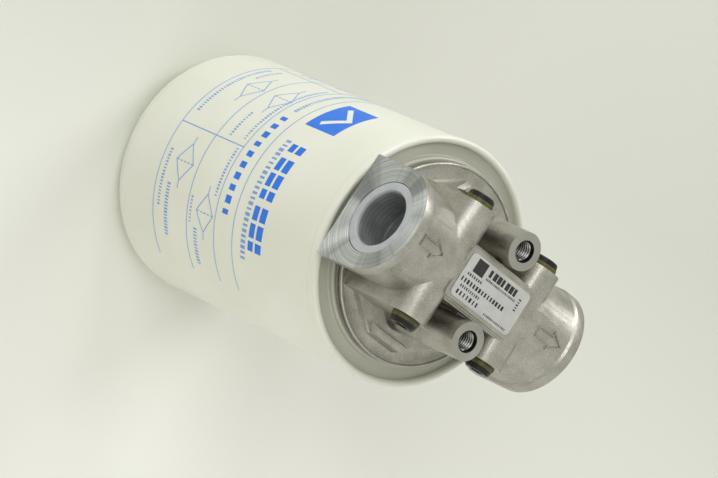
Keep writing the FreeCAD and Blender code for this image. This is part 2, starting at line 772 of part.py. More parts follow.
def add_port_bosses(body):
    """A lofted boss with a collar on either side, meant for the inlet and the outlet."""
    low = seal_face + size("port_foot")
    collar_start = size("port_face") - size("collar_width")
    stations = [
        (size("barrel_start"), size("barrel_inner")),
        (collar_start - size("collar_slope"), size("barrel_outer")),
        (collar_start, size("collar_radius")),
    ]
    sketches = []
    for number, (reach, half_width) in enumerate(stations):
        sketch = new_sketch(body, f"port_section_{number}", "YZ_Plane", lift=reach)
        arch_outline(sketch, 0, half_width, low, port_axis)
        sketches.append(sketch)
    barrel = add_loft(body, "port_barrel", sketches)
    sketch = new_sketch(body, "collar_outline", "YZ_Plane", lift=collar_start)
    arch_outline(sketch, 0, size("collar_radius"), low, port_axis)
    collar = add_pad(body, "port_collar", sketch, size("collar_width"))
    return mirror(body, "port_bosses", [barrel, collar], "YZ_Plane")


def add_gauge_blocks(body):
    """Two cross bars with half-round tops that carry a gauge port at each end."""
    low = seal_face + size("flange_floor")
    for name, side, face in GAUGE_SIDES:
        sketch = new_sketch(body, f"gauge_block_outline_{name}", "XZ_Plane")
        arch_outline(sketch, size("gauge_x") * side, size("gauge_radius"), low, gauge_axis)
        block = add_pad(body, f"gauge_block_{name}", sketch, face * 2, symmetric=True)
    return block


def add_spine(body):
    """Middle block with the stepped pad that carries the label."""
    low = seal_face + size("port_foot")
    step = size("pad_step")
    x, y, corner = size("pad_half_x"), size("pad_half_y"), size("pad_corner")
    layers = [
        ("spine", size("spine_half_x"), size("spine_half_y"), seal_face + size("spine_height")),
        ("pad_border", x, y, pad_top - size("pad_step_height")),
        ("label_pad", x - step, y - step, pad_top),
    ]
    for name, half_x, half_y, top in layers:
        sketch = new_sketch(body, f"{name}_outline", "XY_Plane", lift=low)
        box_outline(sketch, -half_x, half_x, -half_y, half_y, corner)
        solid = add_pad(body, name, sketch, top - low)
    return solid


def add_mounting_bosses(body):
    """Two round bosses, each with a rib to the spine and a web to the gauge port blocks."""
    low = seal_face + size("port_foot")
    across = size("boss_spacing") / 2
    radius, draft = size("boss_radius"), size("boss_draft")
    boss = add_turned(body, "mounting_boss", [
        (0, low),
        (radius + draft, low),
        (radius, boss_top),
        (0, boss_top),
    ], role="YZ_Plane", across=across)
    inside = size("spine_half_y") - size("cast_wall")
    half = size("boss_rib_width") / 2
    sketch = new_sketch(body, "boss_rib_outline", "XY_Plane", lift=low)
    box_outline(sketch, -half, half, inside, across)
    rib = add_pad(body, "boss_rib", sketch, size("boss_rib_height") - size("port_foot"))
    block = size("gauge_x") - size("gauge_radius") + size("cast_wall")
    flat = size("web_flat")
    edge = across + radius - draft
    sketch = new_sketch(body, "web_outline", "XY_Plane", lift=low)
    outline(sketch, [
        (-block, inside), (block, inside), (block, size("web_end")), (flat, edge), (-flat, edge),
        (-block, size("web_end")),
    ])
    web = add_pad(body, "web", sketch, size("web_height") - size("port_foot"))
    bind(web, "TaperAngle", -size("web_draft"))
    return mirror(body, "mounting_bosses", [boss, rib, web], "XZ_Plane")


def cut_oil_ways(body):
    """Ports, oil ways, valve hole, nipple bore and the way down to the canister."""
    face, thread, depth = size("port_face"), size("port_thread"), size("port_depth")
    recess, recess_depth = size("port_recess"), size("port_recess_depth")
    way = size("gallery_radius")
    cone = thread - way
    ring_near = guide_near + size("guide_thickness")
    ring_far = ring_near + size("snap_ring_width")
    ring = way + size("snap_ring_depth")
    cut_turned(body, "outlet_way", [
        (-size("wall_outlet_side"), 0),
        (-size("wall_outlet_side"), way),
        (ring_near, way),
        (ring_near, ring),
        (ring_far, ring),
        (ring_far, way),
        (face - depth - cone, way),
        (face - depth, thread),
        (face - recess_depth, thread),
        (face - recess_depth, recess),
        (face, recess),
        (face, 0),
    ], axis="H_Axis", up=port_axis)
    cut_turned(body, "inlet_way", [
        (-face, 0),
        (-face, recess),
        (recess_depth - face, recess),
        (recess_depth - face, thread),
        (depth - face, thread),
        (depth + cone - face, way),
        (-wall_inlet_side, way),
        (-wall_inlet_side, 0),
    ], axis="H_Axis", up=port_axis)
    cut_turned(body, "valve_hole", [
        (-wall_inlet_side, 0),
        (-wall_inlet_side, size("bypass_bore")),
        (-size("wall_outlet_side"), size("bypass_bore")),
        (-size("wall_outlet_side"), 0),
    ], axis="H_Axis", up=port_axis)
    bore = size("nipple_radius") + size("thread_gap")
    shoulder = seal_face + size("nipple_rise")
    cut_turned(body, "nipple_bore", [
        (0, seal_face),
        (bore, seal_face),
        (bore, shoulder),
        (size("nipple_bore"), shoulder),
        (size("nipple_bore"), port_axis),
        (0, port_axis),
    ])
    sketch = new_sketch(body, "inlet_slot_outline", "XY_Plane", lift=seal_face)
    near = -wall_inlet_side - size("slot_wall")
    box_outline(sketch, near - size("slot_length"), near, -size("slot_half_width"), size("slot_half_width"),
                size("slot_corner"))
    return cut_pocket(body, "inlet_slot", sketch, size("port_rise"), reverse=True)


def cut_gauge_ports(body):
    """Four tapped gauge ports and the thin drillings behind them."""
    for name, side, face in GAUGE_SIDES:
        sketch = new_sketch(body, f"gauge_port_outline_{name}", "XZ_Plane", lift=-face)
        circle_at(sketch, size("gauge_x") * side, gauge_axis, size("gauge_thread"))
        port = cut_pocket(body, f"gauge_port_{name}", sketch, size("gauge_depth"), reverse=True)
        mirror(body, f"gauge_ports_{name}", [port], "XZ_Plane")
        sketch = new_sketch(body, f"gauge_way_outline_{name}", "XZ_Plane")
        circle_at(sketch, size("gauge_x") * side, gauge_axis, size("gauge_way"))
        way = cut_pocket(body, f"gauge_way_{name}", sketch, face * 2, symmetric=True)
    return way


def cut_mounting_holes(body):
    """Two blind tapped holes with chamfered mouths."""
    radius, chamfer = size("mount_hole"), size("mount_chamfer")
    low = boss_top - size("mount_depth")
    hole = cut_turned(body, "mounting_hole", [
        (0, low - radius * 0.5),
        (radius, low),
        (radius, boss_top - chamfer),
        (radius + chamfer, boss_top),
        (0, boss_top),
    ], role="YZ_Plane", across=size("boss_spacing") / 2)
    return mirror(body, "mounting_holes", [hole], "XZ_Plane")


def make_head():
    """Cast head in one piece, then its machined holes."""
    body = new_body("head_casting")
    add_head_flange(body)
    add_port_bosses(body)
    add_gauge_blocks(body)
    add_spine(body)
    add_mounting_bosses(body)
    cut_oil_ways(body)
    cut_gauge_ports(body)
    cut_mounting_holes(body)
    return body


def make_label():
    """Thin label on the pad."""
    body = new_body("head_label")
    sketch = new_sketch(body, "label_outline", "XY_Plane", lift=pad_top + size("label_glue"))
    half_x, half_y = size("label_length") / 2, size("label_width") / 2
    box_outline(sketch, -half_x, half_x, -half_y, half_y, size("label_corner"))
    add_pad(body, "sticker", sketch, size("label_thickness"))
    return body


def make_inlet_cap():
    """Transport cap pushed into the inlet port: a flange and a closed hollow plug."""
    body = new_body("inlet_cap", (-size("port_face"), 0, port_axis), (0, 1, 0), -90)
    t = size("cap_flange_thickness")
    seat = -size("port_recess_depth")
    outer = size("port_thread") - size("cap_gap")
    inner = outer - size("cap_wall")
    end = seat - size("cap_depth")
    add_turned(body, "moulded", [
        (0, end),
        (outer, end, size("cap_edge")),
        (outer, seat),
        (size("cap_flange"), seat),
        (size("cap_flange"), seat + t),
        (inner, seat + t),
        (inner, end + size("cap_wall")),
        (0, end + size("cap_wall")),
    ])
    return body


def make_gauge_plug(name, at, degrees):
    """Screwed plug with a grooved round head and a hexagon socket."""
    body = new_body(name, at, (1, 0, 0), degrees)
    radius, thread = size("plug_radius"), size("gauge_thread") - size("plug_gap")
    low, groove = size("seal_thickness"), size("plug_groove")
    top = low + size("plug_head")
    ridge = size("plug_head") / 8
    narrowing = size("plug_taper") / 8
    tail = -size("plug_thread_length")
    corners = [(0, tail), (thread, tail), (thread, low), (radius, low)]
    for step in range(1, 7, 2):
        corners += [
            (radius - narrowing * step, low + ridge * step),
            (radius - narrowing * (step + 0.5) - groove, low + ridge * (step + 0.5)),
            (radius - narrowing * (step + 1), low + ridge * (step + 1)),
        ]
    corners += [(radius - narrowing * 7, top - ridge), (radius - narrowing * 8 - ridge, top), (0, top)]
    add_turned(body, "turned", corners)
    sketch = new_sketch(body, "socket_outline", "XY_Plane", lift=top)
    half = size("plug_socket")
    point = half / math.cos(math.pi / 6)
    outline(sketch, [
        (point, 0), (point / 2, half), (-point / 2, half),
        (-point, 0), (-point / 2, -half), (point / 2, -half),
    ])
    cut_pocket(body, "socket", sketch, size("plug_socket_depth"))
    return body


def make_gauge_seal(name, at, degrees):
    """Soft ring under the head of a gauge plug."""
    body = new_body(name, at, (1, 0, 0), degrees)
    inner = size("gauge_thread")
    outer, edge = size("plug_radius") + size("seal_proud"), size("seal_thickness") / 4
    add_turned(body, "moulded", [
        (inner, 0),
        (outer, 0, edge),
        (outer, size("seal_thickness"), edge),
        (inner, size("seal_thickness")),
    ])
    return body


def make_poppet():
    """Valve disc with its stem, closed on the wall between the oil ways."""
    body = new_body("bypass_poppet", (-size("wall_outlet_side"), 0, port_axis), (0, 1, 0), 90)
    disc, t, stem = size("poppet_radius"), size("poppet_thickness"), size("poppet_stem")
    end = t + size("poppet_stem_length")
    add_turned(body, "turned", [
        (0, 0),
        (disc, 0),
        (disc, t),
        (stem, t),
        (stem, end - stem / 4),
        (stem * 0.75, end),
        (0, end),
    ])
    return body


def make_guide():
    """Spoked guide for the valve stem, set across the outlet way."""
    body = new_body("bypass_guide", (guide_near, 0, port_axis), (0, 1, 0), 90)
    outer = size("gallery_radius") - size("guide_gap")
    inner = size("poppet_stem") + size("guide_gap")
    add_turned(body, "pressed", [
        (inner, 0),
        (outer, 0),
        (outer, size("guide_thickness")),
        (inner, size("guide_thickness")),
    ])
    sketch = new_sketch(body, "window_outline", "XY_Plane", lift=size("guide_thickness"))
    window = size("guide_window")
    near = size("guide_hub")
    far = outer - size("guide_rim")
    # The far side of a window is set back so that its corners stay inside the rim
    outline(sketch, [
        (near, -window * 0.5, 0.5),
        (near + (far - near) / 2, -window, 0.5),
        (far, -window * 0.6, 0.5),
        (far, window * 0.6, 0.5),
        (near + (far - near) / 2, window, 0.5),
        (near, window * 0.5, 0.5),
    ])
    hole = cut_pocket(body, "window", sketch, size("guide_thickness"))
    around(body, "windows", [hole], size("guide_windows"))
    return body


def make_snap_ring():
    """Split ring that holds the guide in the outlet way."""
    body = new_body("guide_snap_ring", (guide_near + size("guide_thickness"), 0, port_axis), (0, 1, 0), 90)
    outer = size("gallery_radius") + size("snap_ring_depth") - size("guide_gap")
    inner = outer - size("snap_ring_band")
    width = size("snap_ring_width")
    add_turned(body, "punched", [(inner, 0), (outer, 0), (outer, width), (inner, width)])
    sketch = new_sketch(body, "gap_outline", "XY_Plane", lift=width)
    box_outline(sketch, 0, outer + 1, -size("snap_ring_opening") / 2, size("snap_ring_opening") / 2)
    cut_pocket(body, "gap", sketch, width)
    return body


# Canister, its threaded end and the filter element
make_can_shell()
make_seam_cover()
make_can_gasket()
make_base_plate()
make_nipple()
make_end_cap("top_end_cap", top_cap_top, 1, grommet_neck + size("grommet_room"))
make_end_cap("bottom_end_cap", bottom_cap_low, -1, Size.of(0))
make_filter_media()
make_core_tube()
make_grommet()
make_spring("bottom_spring", (0, 0, can_floor), (0, 0, 1), 0, size("lift_spring_radius"),
            size("lift_spring_wire"), size("element_foot"), size("lift_spring_turns"))

# Head with its ports, plugs, valve and label
make_head()
make_label()
make_inlet_cap()
number = 0
for _, side_x, face in GAUGE_SIDES:
    for side_y in (-1, 1):
        number += 1
        place = (size("gauge_x") * side_x, face * side_y, gauge_axis)
        make_gauge_plug(f"gauge_plug_{number}", place, -90 * side_y)
        make_gauge_seal(f"gauge_seal_{number}", place, -90 * side_y)
make_poppet()
make_spring("bypass_spring", (size("poppet_thickness") - size("wall_outlet_side"), 0, port_axis), (0, 1, 0), 90,
            size("valve_spring_radius"), size("valve_spring_wire"), size("valve_spring_length"),
            size("valve_spring_turns"))
make_guide()
make_snap_ring()

doc.recompute()

# Every feature must be sound before anything is written
for thing in doc.Objects:
    if "Invalid" in thing.State or "Error" in thing.State:
        raise RuntimeError(f"{thing.Label} could not be built: {thing.State}")
for body in nodes:
    if body.Shape.isNull() or not body.Shape.isValid() or len(body.Shape.Solids) != 1:
        raise RuntimeError(f"{body.Label} is not one sound solid")

os.makedirs("parts", exist_ok=True)
for body in nodes:
    body.Shape.exportStep(f"parts/{body.Label}.step")
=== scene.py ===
"""Looks of a spin-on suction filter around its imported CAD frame.

The filter stands on the closed end of its canister. +Z is the canister axis and the oil flows
towards +X. Lengths are metres, apart from names that end in _mm and tables that say so.
"""

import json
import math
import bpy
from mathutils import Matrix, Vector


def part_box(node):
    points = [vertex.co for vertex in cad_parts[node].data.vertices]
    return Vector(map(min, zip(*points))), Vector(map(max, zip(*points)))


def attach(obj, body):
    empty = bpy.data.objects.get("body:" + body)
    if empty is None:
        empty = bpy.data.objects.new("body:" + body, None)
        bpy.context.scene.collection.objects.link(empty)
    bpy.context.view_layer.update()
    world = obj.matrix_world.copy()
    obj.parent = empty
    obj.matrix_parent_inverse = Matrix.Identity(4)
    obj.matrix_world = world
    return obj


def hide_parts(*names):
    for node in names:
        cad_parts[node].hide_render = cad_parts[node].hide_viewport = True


bl_info = {
    "name": "Spin-on suction filter",
    "version": (1, 0, 0),
    "blender": (4, 5, 0),
    "location": "View3D > Sidebar > Filter",
    "description": "Finishes the head, canister, seals and print of a spin-on suction filter",
    "category": "Object",
}

import bmesh
import bpy
from bpy.props import FloatProperty, FloatVectorProperty, IntProperty, PointerProperty
from mathutils import Euler, Matrix, Vector

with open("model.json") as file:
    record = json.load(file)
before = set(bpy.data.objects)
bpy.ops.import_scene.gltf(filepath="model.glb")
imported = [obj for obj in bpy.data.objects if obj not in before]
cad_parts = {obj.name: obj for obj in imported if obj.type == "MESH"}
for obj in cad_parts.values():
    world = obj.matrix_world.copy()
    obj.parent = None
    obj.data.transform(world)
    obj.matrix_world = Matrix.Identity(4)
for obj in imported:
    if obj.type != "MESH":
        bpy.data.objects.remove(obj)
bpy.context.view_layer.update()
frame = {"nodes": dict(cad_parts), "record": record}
MM = 0.001
WELD = 1e-6


# Places read from the frame

def low(node):
    """Lowest corner of a CAD node."""
    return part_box(node)[0]


def high(node):
    """Highest corner of a CAD node."""
    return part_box(node)[1]


MOUNTS = {mount["name"]: mount["dims"] for mount in frame["record"]["mounts"]}
PORT_AXIS = ((low("inlet_cap") + high("inlet_cap")) / 2).z
PORT_FACE = high("head_casting").x
PORT_CREST = MOUNTS["outlet_port"]["r_mm"] * MM
PORT_THREAD_LENGTH = MOUNTS["outlet_port"]["length_mm"] * MM
BOSS_TOP = high("head_casting").z
BOSS_REACH = MOUNTS["mounting_bosses"]["spacing_y_mm"] * MM / 2
BOSS_CREST = MOUNTS["mounting_bosses"]["hole_r_mm"] * MM
RIM_RADIUS = high("can_shell").x
CAN_TOP = high("can_shell").z

# Directions in which a turned piece can point
UP = Matrix.Identity(3)
ALONG_X = Matrix.Rotation(math.radians(90), 3, "Y")
AGAINST_X = Matrix.Rotation(math.radians(-90), 3, "Y")
ALONG_Y = Matrix.Rotation(math.radians(-90), 3, "X")
AGAINST_Y = Matrix.Rotation(math.radians(90), 3, "X")


# Colours and materials

def linear(code):
    """Linear colour of an sRGB hex value."""
    parts = [int(code[i:i + 2], 16) / 255 for i in (1, 3, 5)]
    return tuple(p / 12.92 if p <= 0.04045 else ((p + 0.055) / 1.055) ** 2.4 for p in parts)


def fill(node, inputs):
    """Sets or links inputs by name or number; a node stands for its first output."""
    for key, value in inputs.items():
        if isinstance(value, bpy.types.Node):
            value = value.outputs[0]
        if isinstance(value, bpy.types.NodeSocket):
            node.id_data.links.new(value, node.inputs[key])
        else:
            node.inputs[key].default_value = value
    return node


def add_node(tree, kind, inputs=None, **settings):
    """Adds a node, sets its settings and fills its inputs."""
    node = tree.nodes.new(kind)
    for name, value in settings.items():
        setattr(node, name, value)
    return fill(node, inputs or {})


def maths(tree, operation, *values):
    """A Math node over values or sockets."""
    return add_node(tree, "ShaderNodeMath", dict(enumerate(values)), operation=operation)


def vectors(tree, operation, *values):
    """A Vector Math node over values or sockets."""
    return add_node(tree, "ShaderNodeVectorMath", dict(enumerate(values)), operation=operation)


def new_material(name, inputs):
    """A material with its tree and its Principled shader, whose inputs are filled."""
    material = bpy.data.materials.new(name)
    material.use_nodes = True
    tree = material.node_tree
    return material, tree, fill(tree.nodes["Principled BSDF"], inputs)


def object_noise(tree, grain_mm, detail=3, squeeze=(1, 1, 1)):
    """Noise on Object coordinates with a grain of a real size."""
    where = add_node(tree, "ShaderNodeTexCoord").outputs["Object"]
    scaled = add_node(tree, "ShaderNodeMapping", {"Vector": where, "Scale": squeeze})
    inputs = {"Vector": scaled, "Scale": 1 / (grain_mm * MM), "Detail": detail}
    return add_node(tree, "ShaderNodeTexNoise", inputs).outputs["Fac"]


def spread(tree, factor, least, most, start=0.35, end=0.65):
    """Stretches the part of a factor from start to end between two values."""
    return add_node(tree, "ShaderNodeMapRange", {
        "Value": factor, "From Min": start, "From Max": end, "To Min": least, "To Max": most,
    }).outputs[0]


def blend(tree, factor, first, second, mode="MIX"):
    """Mixes two colours, each a socket, a hex value or a property."""
    sides = [linear(side) if isinstance(side, str) else side for side in (first, second)]
    sides = [side if isinstance(side, bpy.types.NodeSocket) else (*side, 1) for side in sides]
    inputs = {0: factor, 6: sides[0], 7: sides[1]}
    return add_node(tree, "ShaderNodeMix", inputs, data_type="RGBA", blend_type=mode).outputs[2]


def bump(tree, shader, layers):
    """Bumps the surface with (height factor, depth in millimetres) layers, one on the other."""
    below = {}
    for height, depth_mm in layers:
        layer = {"Height": height, "Distance": depth_mm * MM, "Strength": 1.0}
        below = {"Normal": add_node(tree, "ShaderNodeBump", {**layer, **below})}
    fill(shader, below)


def from_axis(tree, point, along, mirrored=False):
    """Vector from an axis (or its mirror images too) across to the surface, and its length."""
    where = add_node(tree, "ShaderNodeTexCoord").outputs["Object"]
    if mirrored:
        where = vectors(tree, "ABSOLUTE", where)
    offset = vectors(tree, "SUBTRACT", where, point)
    kept = [0 if axis == along else 1 for axis in range(3)]
    across = vectors(tree, "MULTIPLY", offset, kept)
    return across, vectors(tree, "LENGTH", across).outputs["Value"]


def toward(tree, way, direction, span):
    """0 to 1 between two distances along a direction."""
    along = vectors(tree, "DOT_PRODUCT", way, direction).outputs["Value"]
    return spread(tree, along, 0, 1, *span)


def shown_rays(tree):
    """1 for rays that show the stage, from the camera, a gloss or a see-through surface."""
    path = add_node(tree, "ShaderNodeLightPath").outputs
    seen = maths(tree, "MAXIMUM", path["Is Camera Ray"], path["Is Glossy Ray"])
    return maths(tree, "MAXIMUM", seen, path["Is Transmission Ray"]).outputs[0]


def surface(name, tints, clouds, inputs, gloss=None, relief=()):
    """A material made of noise with grains of (millimetres, detail[, squeeze]).

    Its colour drifts between two tints in clouds, its roughness in a gloss of (grain, least,
    most), and relief lists bumps of (grain, depth in millimetres).
    """
    material, tree, shader = new_material(name, inputs)
    patches = spread(tree, object_noise(tree, *clouds), 0, 1)
    fill(shader, {"Base Color": blend(tree, patches, *tints)})
    if gloss:
        grain, least, most = gloss
        fill(shader, {"Roughness": spread(tree, object_noise(tree, *grain), least, most)})
    bump(tree, shader, [(object_noise(tree, *grain), depth_mm) for grain, depth_mm in relief])
    return material


def stoved_enamel(name, *tints):
    """Stoved off-white enamel on drawn steel: smooth satin gloss, a little cloudy."""
    coat = {"Coat Weight": 0.2, "Coat Roughness": 0.15}
    return surface(name, tints, (38, 2), coat, gloss=((9, 2), 0.3, 0.38))


def printing_ink(name, *tints):
    """Screen-printed ink: thin and even, a little less glossy than the enamel."""
    return surface(name, tints, (3.0, 3), {}, gloss=((1.2, 3), 0.38, 0.48))


def plain_metal(name, main, shade, grain_mm=0.8, rough=(0.26, 0.42)):
    """Cold-worked steel: even grey with fine drawn marks."""
    return surface(name, (main, shade), (12, 3), {"Metallic": 1.0},
                   gloss=((grain_mm, 3), *rough), relief=[((grain_mm, 3, (1, 1, 6)), 0.01)])


def moulded_rubber(name, main, shade, rough=(0.5, 0.66)):
    """Moulded rubber or plastic: soft sheen and a fine skin grain."""
    return surface(name, (main, shade), (2.0, 3), {"IOR": 1.52},
                   gloss=((1.0, 3), *rough), relief=[((0.35, 3), 0.015)])


def resin_paper(name, *tints):
    """Resin-treated filter paper: fibrous, warm and quite matt."""
    return surface(name, tints, (0.8, 4, (1, 1, 0.3)), {"Roughness": 0.85, "IOR": 1.5},
                   relief=[((0.25, 3), 0.04)])


def milky_polythene(name, main, shade, see_through):
    """Natural polythene: milky, a little see-through, with a waxy gloss."""
    body = {"IOR": 1.51, "Transmission Weight": see_through,
            "Subsurface Weight": 0.2, "Subsurface Scale": 0.002}
    return surface(name, (main, shade), (5, 2), body, gloss=((4, 2), 0.28, 0.38))


def foil_label(name, *tints):
    """Silver-grey self-adhesive foil, matt and even."""
    return surface(name, tints, (4, 2), {"Roughness": 0.42, "Metallic": 0.15})


def die_cast_aluminium(name, main, shade):
    """Blasted aluminium die casting: fine sparkling grain and cloudy patches."""
    material, tree, shader = new_material(name, {"Metallic": 1.0})
    colour = blend(tree, spread(tree, object_noise(tree, 7, 4), 0, 1), main, shade)
    # The real grain is about 0.1 mm; it is drawn at 0.34 and 0.42 mm so that it shows
    sparkle = spread(tree, object_noise(tree, 0.34, 2), 0, 0.32, 0.5, 0.7)
    fill(shader, {
        "Base Color": blend(tree, sparkle, colour, "#F4F2EA", "SCREEN"),
        "Roughness": spread(tree, object_noise(tree, 1.4, 4), 0.34, 0.48, 0.3, 0.7),
    })
    bump(tree, shader, [(object_noise(tree, 2.6, 3), 0.04), (object_noise(tree, 0.42, 3), 0.06)])
    return material


def faced_aluminium(name, main, shade, point, along):
    """Machined aluminium: rings of a facing tool, reflections that fan out from their axis, and
    painted reflection fans drawn as dark streaks from the axis.
    """
    material, tree, shader = new_material(name, {"Metallic": 1.0, "Anisotropic": 0.84})
    across, reach = from_axis(tree, point, along)
    outwards = vectors(tree, "NORMALIZE", across)
    # Feed marks of 0.1 mm are drawn at 0.45 and 0.9 mm so that they show
    fine, broad = [
        add_node(tree, "ShaderNodeTexNoise", {
            "W": reach, "Scale": 1 / (ring_mm * MM), "Detail": detail,
        }, noise_dimensions="1D").outputs["Fac"]
        for ring_mm, detail in ((0.45, 3.0), (0.9, 2.0))]
    # Painted reflection: dark streaks that run out from the axis stand in for the fans of light
    # and shade of the turned rings
    painted_fan_streaks = add_node(tree, "ShaderNodeTexNoise", {
        "Vector": outwards, "Scale": 1.25, "Detail": 6.0, "Roughness": 0.58,
    }).outputs["Fac"]
    cloud = blend(tree, spread(tree, broad, 0, 1), main, shade)
    fill(shader, {
        "Base Color": blend(tree, spread(tree, painted_fan_streaks, 0, 0.7, 0.44, 0.6), cloud, "#7E8182"),
        "Roughness": spread(tree, fine, 0.42, 0.56, 0.3, 0.7),
        "Tangent": outwards,
    })
    bump(tree, shader, [(broad, 0.03), (fine, 0.08)])
    return material


def tapped_aluminium(name, point, along, crest, depth):
    """Tapped aluminium: bright thread crests above roots darkened with painted shade."""
    material, tree, shader = new_material(name, {"Metallic": 1.0, "Roughness": 0.4})
    _, reach = from_axis(tree, point, along, mirrored=True)
    # Painted shade: the colour darkens from the thread crests to the near black of the roots
    sunk = spread(tree, reach, 0, 1, crest + depth * 0.1, crest + depth * 0.75)
    fill(shader, {"Base Color": blend(tree, sunk, "#A8A8A4", "#161616")})
    return material


# Mesh building

def publish(name, mesh, material, body, slot, *replaced):
    """Makes an object of a finished mesh, puts it under its body and hides the CAD nodes that it
    replaces.
    """
    piece = bpy.data.objects.new(name, mesh)
    bpy.context.scene.collection.objects.link(piece)
    if material is not None:
        mesh.materials.clear()
        mesh.materials.append(material)
    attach(piece, body)
    if replaced:
        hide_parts(*replaced)


def finish_node(node, material):
    """Gives a CAD node that stays a material of its own."""
    mesh = frame["nodes"][node].data
    mesh.materials.clear()
    mesh.materials.append(material)
    for face in mesh.polygons:
        face.material_index = 0


def soften(mesh, degrees=32):
    """Smooth shading that keeps the real edges."""
    mesh.shade_smooth()
    mesh.set_sharp_from_angle(angle=math.radians(degrees))


def written(form, mesh):
    """Writes a bmesh into a mesh and frees it."""
    form.to_mesh(mesh)
    form.free()
    return mesh


def rounded_section(corners, steps=6):
    """Section points of (radius, height[, rounding]) corners."""
    points = []
    for i, corner in enumerate(corners):
        here = Vector(corner[:2])
        if len(corner) < 3:
            points.append(here)
            continue
        back = (Vector(corners[i - 1][:2]) - here).normalized()
        ahead = (Vector(corners[(i + 1) % len(corners)][:2]) - here).normalized()
        half = back.angle(ahead) / 2
        reach = corner[2] / math.tan(half)
        centre = here + (back + ahead).normalized() * corner[2] / math.sin(half)
        start = here + back * reach - centre
        sweep = start.angle_signed(here + ahead * reach - centre)
        for step in range(steps + 1):
            turned = start.copy()
            turned.rotate(Matrix.Rotation(-sweep * step / steps, 2))
            points.append(centre + turned)
    return points


def six_sided(apothem, turn):
    """Radius of a hexagon with a given apothem at a turn."""
    wedge = math.radians(60)
    return apothem / math.cos((turn + wedge / 2) % wedge - wedge / 2)


def turned_mesh(name, section, place, facing, around=128, hexagon=()):
    """Closed solid of revolution about an axis through a place; some rings may be hexagons."""
    form = bmesh.new()
    rings = []
    for number, (radius, height) in enumerate(section):
        ring = []
        for i in range(around if radius > WELD else 1):
            turn = 2 * math.pi * i / around
            reach = six_sided(radius, turn) if number in hexagon else radius
            spot = Vector((reach * math.cos(turn), reach * math.sin(turn), height))
            ring.append(form.verts.new(facing @ spot + place))
        rings.append(ring)
    for first, second in zip(rings, rings[1:] + rings[:1]):
        for i in range(around):
            j = (i + 1) % around
            corners = [ring[k % len(ring)] for ring, k in (
                (first, i), (first, j), (second, j), (second, i))]
            distinct = list(dict.fromkeys(corners))
            if len(distinct) > 2:
                form.faces.new(distinct)
    bmesh.ops.recalc_face_normals(form, faces=form.faces)
    mesh = written(form, bpy.data.meshes.new(name))
    soften(mesh)
    return mesh


def merged_copy(node, name):
    """A welded copy of a CAD node's mesh, with flat faces joined."""
    mesh = frame["nodes"][node].data.copy()
    mesh.name = name
    mesh.materials.clear()
    form = bmesh.new()
    form.from_mesh(mesh)
    bmesh.ops.remove_doubles(form, verts=form.verts, dist=WELD)
    flat = math.radians(0.8)
    bmesh.ops.dissolve_limit(form, angle_limit=flat, verts=form.verts, edges=form.edges)
    return written(form, mesh)


def joined(name, meshes):
    """One mesh of several."""
    form = bmesh.new()
    for mesh in meshes:
        form.from_mesh(mesh)
    return written(form, bpy.data.meshes.new(name))


def modified(name, mesh, kind, inputs=None, **settings):
    """The plain mesh that one modifier makes of a mesh; inputs are those of its tree."""
    holder = bpy.data.objects.new(name, mesh)
    bpy.context.scene.collection.objects.link(holder)
    modifier = holder.modifiers.new("shape", kind)
    for key, value in settings.items():
        setattr(modifier, key, value)
    for key, value in (inputs or {}).items():
        modifier[modifier.node_group.interface.items_tree[key].identifier] = value
    graph = bpy.context.evaluated_depsgraph_get()
    result = bpy.data.meshes.new_from_object(holder.evaluated_get(graph))
    result.name = name
    bpy.data.objects.remove(holder)
    return result


def with_thickness(name, mesh, thickness):
    """Turns a thin sheet into a closed one with a real thickness behind its face."""
    return modified(name, mesh, "SOLIDIFY", thickness=thickness, offset=-1)


def mitred_sides(points, width, closed):
    """Left and right edge points of a line of constant width through flat points."""
    spots = [Vector(point) for point in points]
    count = len(spots)
    sides = []
    for i, spot in enumerate(spots):
        back = spots[i - 1] if closed or i else None
        ahead = spots[(i + 1) % count] if closed or i < count - 1 else None
        ways = [(spot - back).normalized()] if back is not None else []
        ways += [(ahead - spot).normalized()] if ahead is not None else []
        normals = [Vector((-way.y, way.x)) for way in ways]
        mitre = sum(normals, Vector((0, 0))).normalized()
        reach = width / 2 / mitre.dot(normals[0])
        sides.append((spot + mitre * reach, spot - mitre * reach))
    return sides


def add_patch(form, corners, step, place):
    """Fills a four-cornered flat field with small faces, each point put in its place."""
    a, b, c, d = [Vector(corner) for corner in corners]
    across = max(1, math.ceil(max((b - a).length, (c - d).length) / step))
    deep = max(1, math.ceil(max((d - a).length, (c - b).length) / step))
    grid = []
    for i in range(across + 1):
        start, end = a.lerp(b, i / across), d.lerp(c, i / across)
        grid.append([form.verts.new(place(start.lerp(end, j / deep))) for j in range(deep + 1)])
    for i in range(across):
        for j in range(deep):
            form.faces.new((grid[i][j], grid[i + 1][j], grid[i + 1][j + 1], grid[i][j + 1]))


def flat_place(spot):
    """A flat point as it is, for art that is wrapped or lifted later."""
    return Vector((spot.x, spot.y, 0))


def art_mesh(name, lines=(), fields=(), place=flat_place, step=1.5 * MM):
    """Flat art: (points, width, closed) lines and four-cornered fields."""
    form = bmesh.new()
    for points, width, closed in lines:
        sides = mitred_sides(points, width, closed)
        following = sides[1:] + sides[:1] if closed else sides[1:]
        for (left, right), (next_left, next_right) in zip(sides, following):
            add_patch(form, (right, next_right, next_left, left), step, place)
    for corners in fields:
        add_patch(form, corners, step, place)
    bmesh.ops.remove_doubles(form, verts=form.verts, dist=WELD)
    return written(form, bpy.data.meshes.new(name))


def box_corners(left, right, foot, head):
    """Corners of an upright rectangle."""
    return (left, foot), (right, foot), (right, head), (left, head)


def word_fields(left, right, bands, letters, wide, narrow):
    """Fields in place of the letters of a word, in bands; every third letter is narrow."""
    pitch = (right - left) / letters
    fields = []
    for i in range(letters):
        start = left + pitch * i
        end = start + pitch * (wide if i % 3 else narrow)
        fields += [box_corners(start, end, foot, head) for foot, head in bands]
    return fields


# Geometry trees

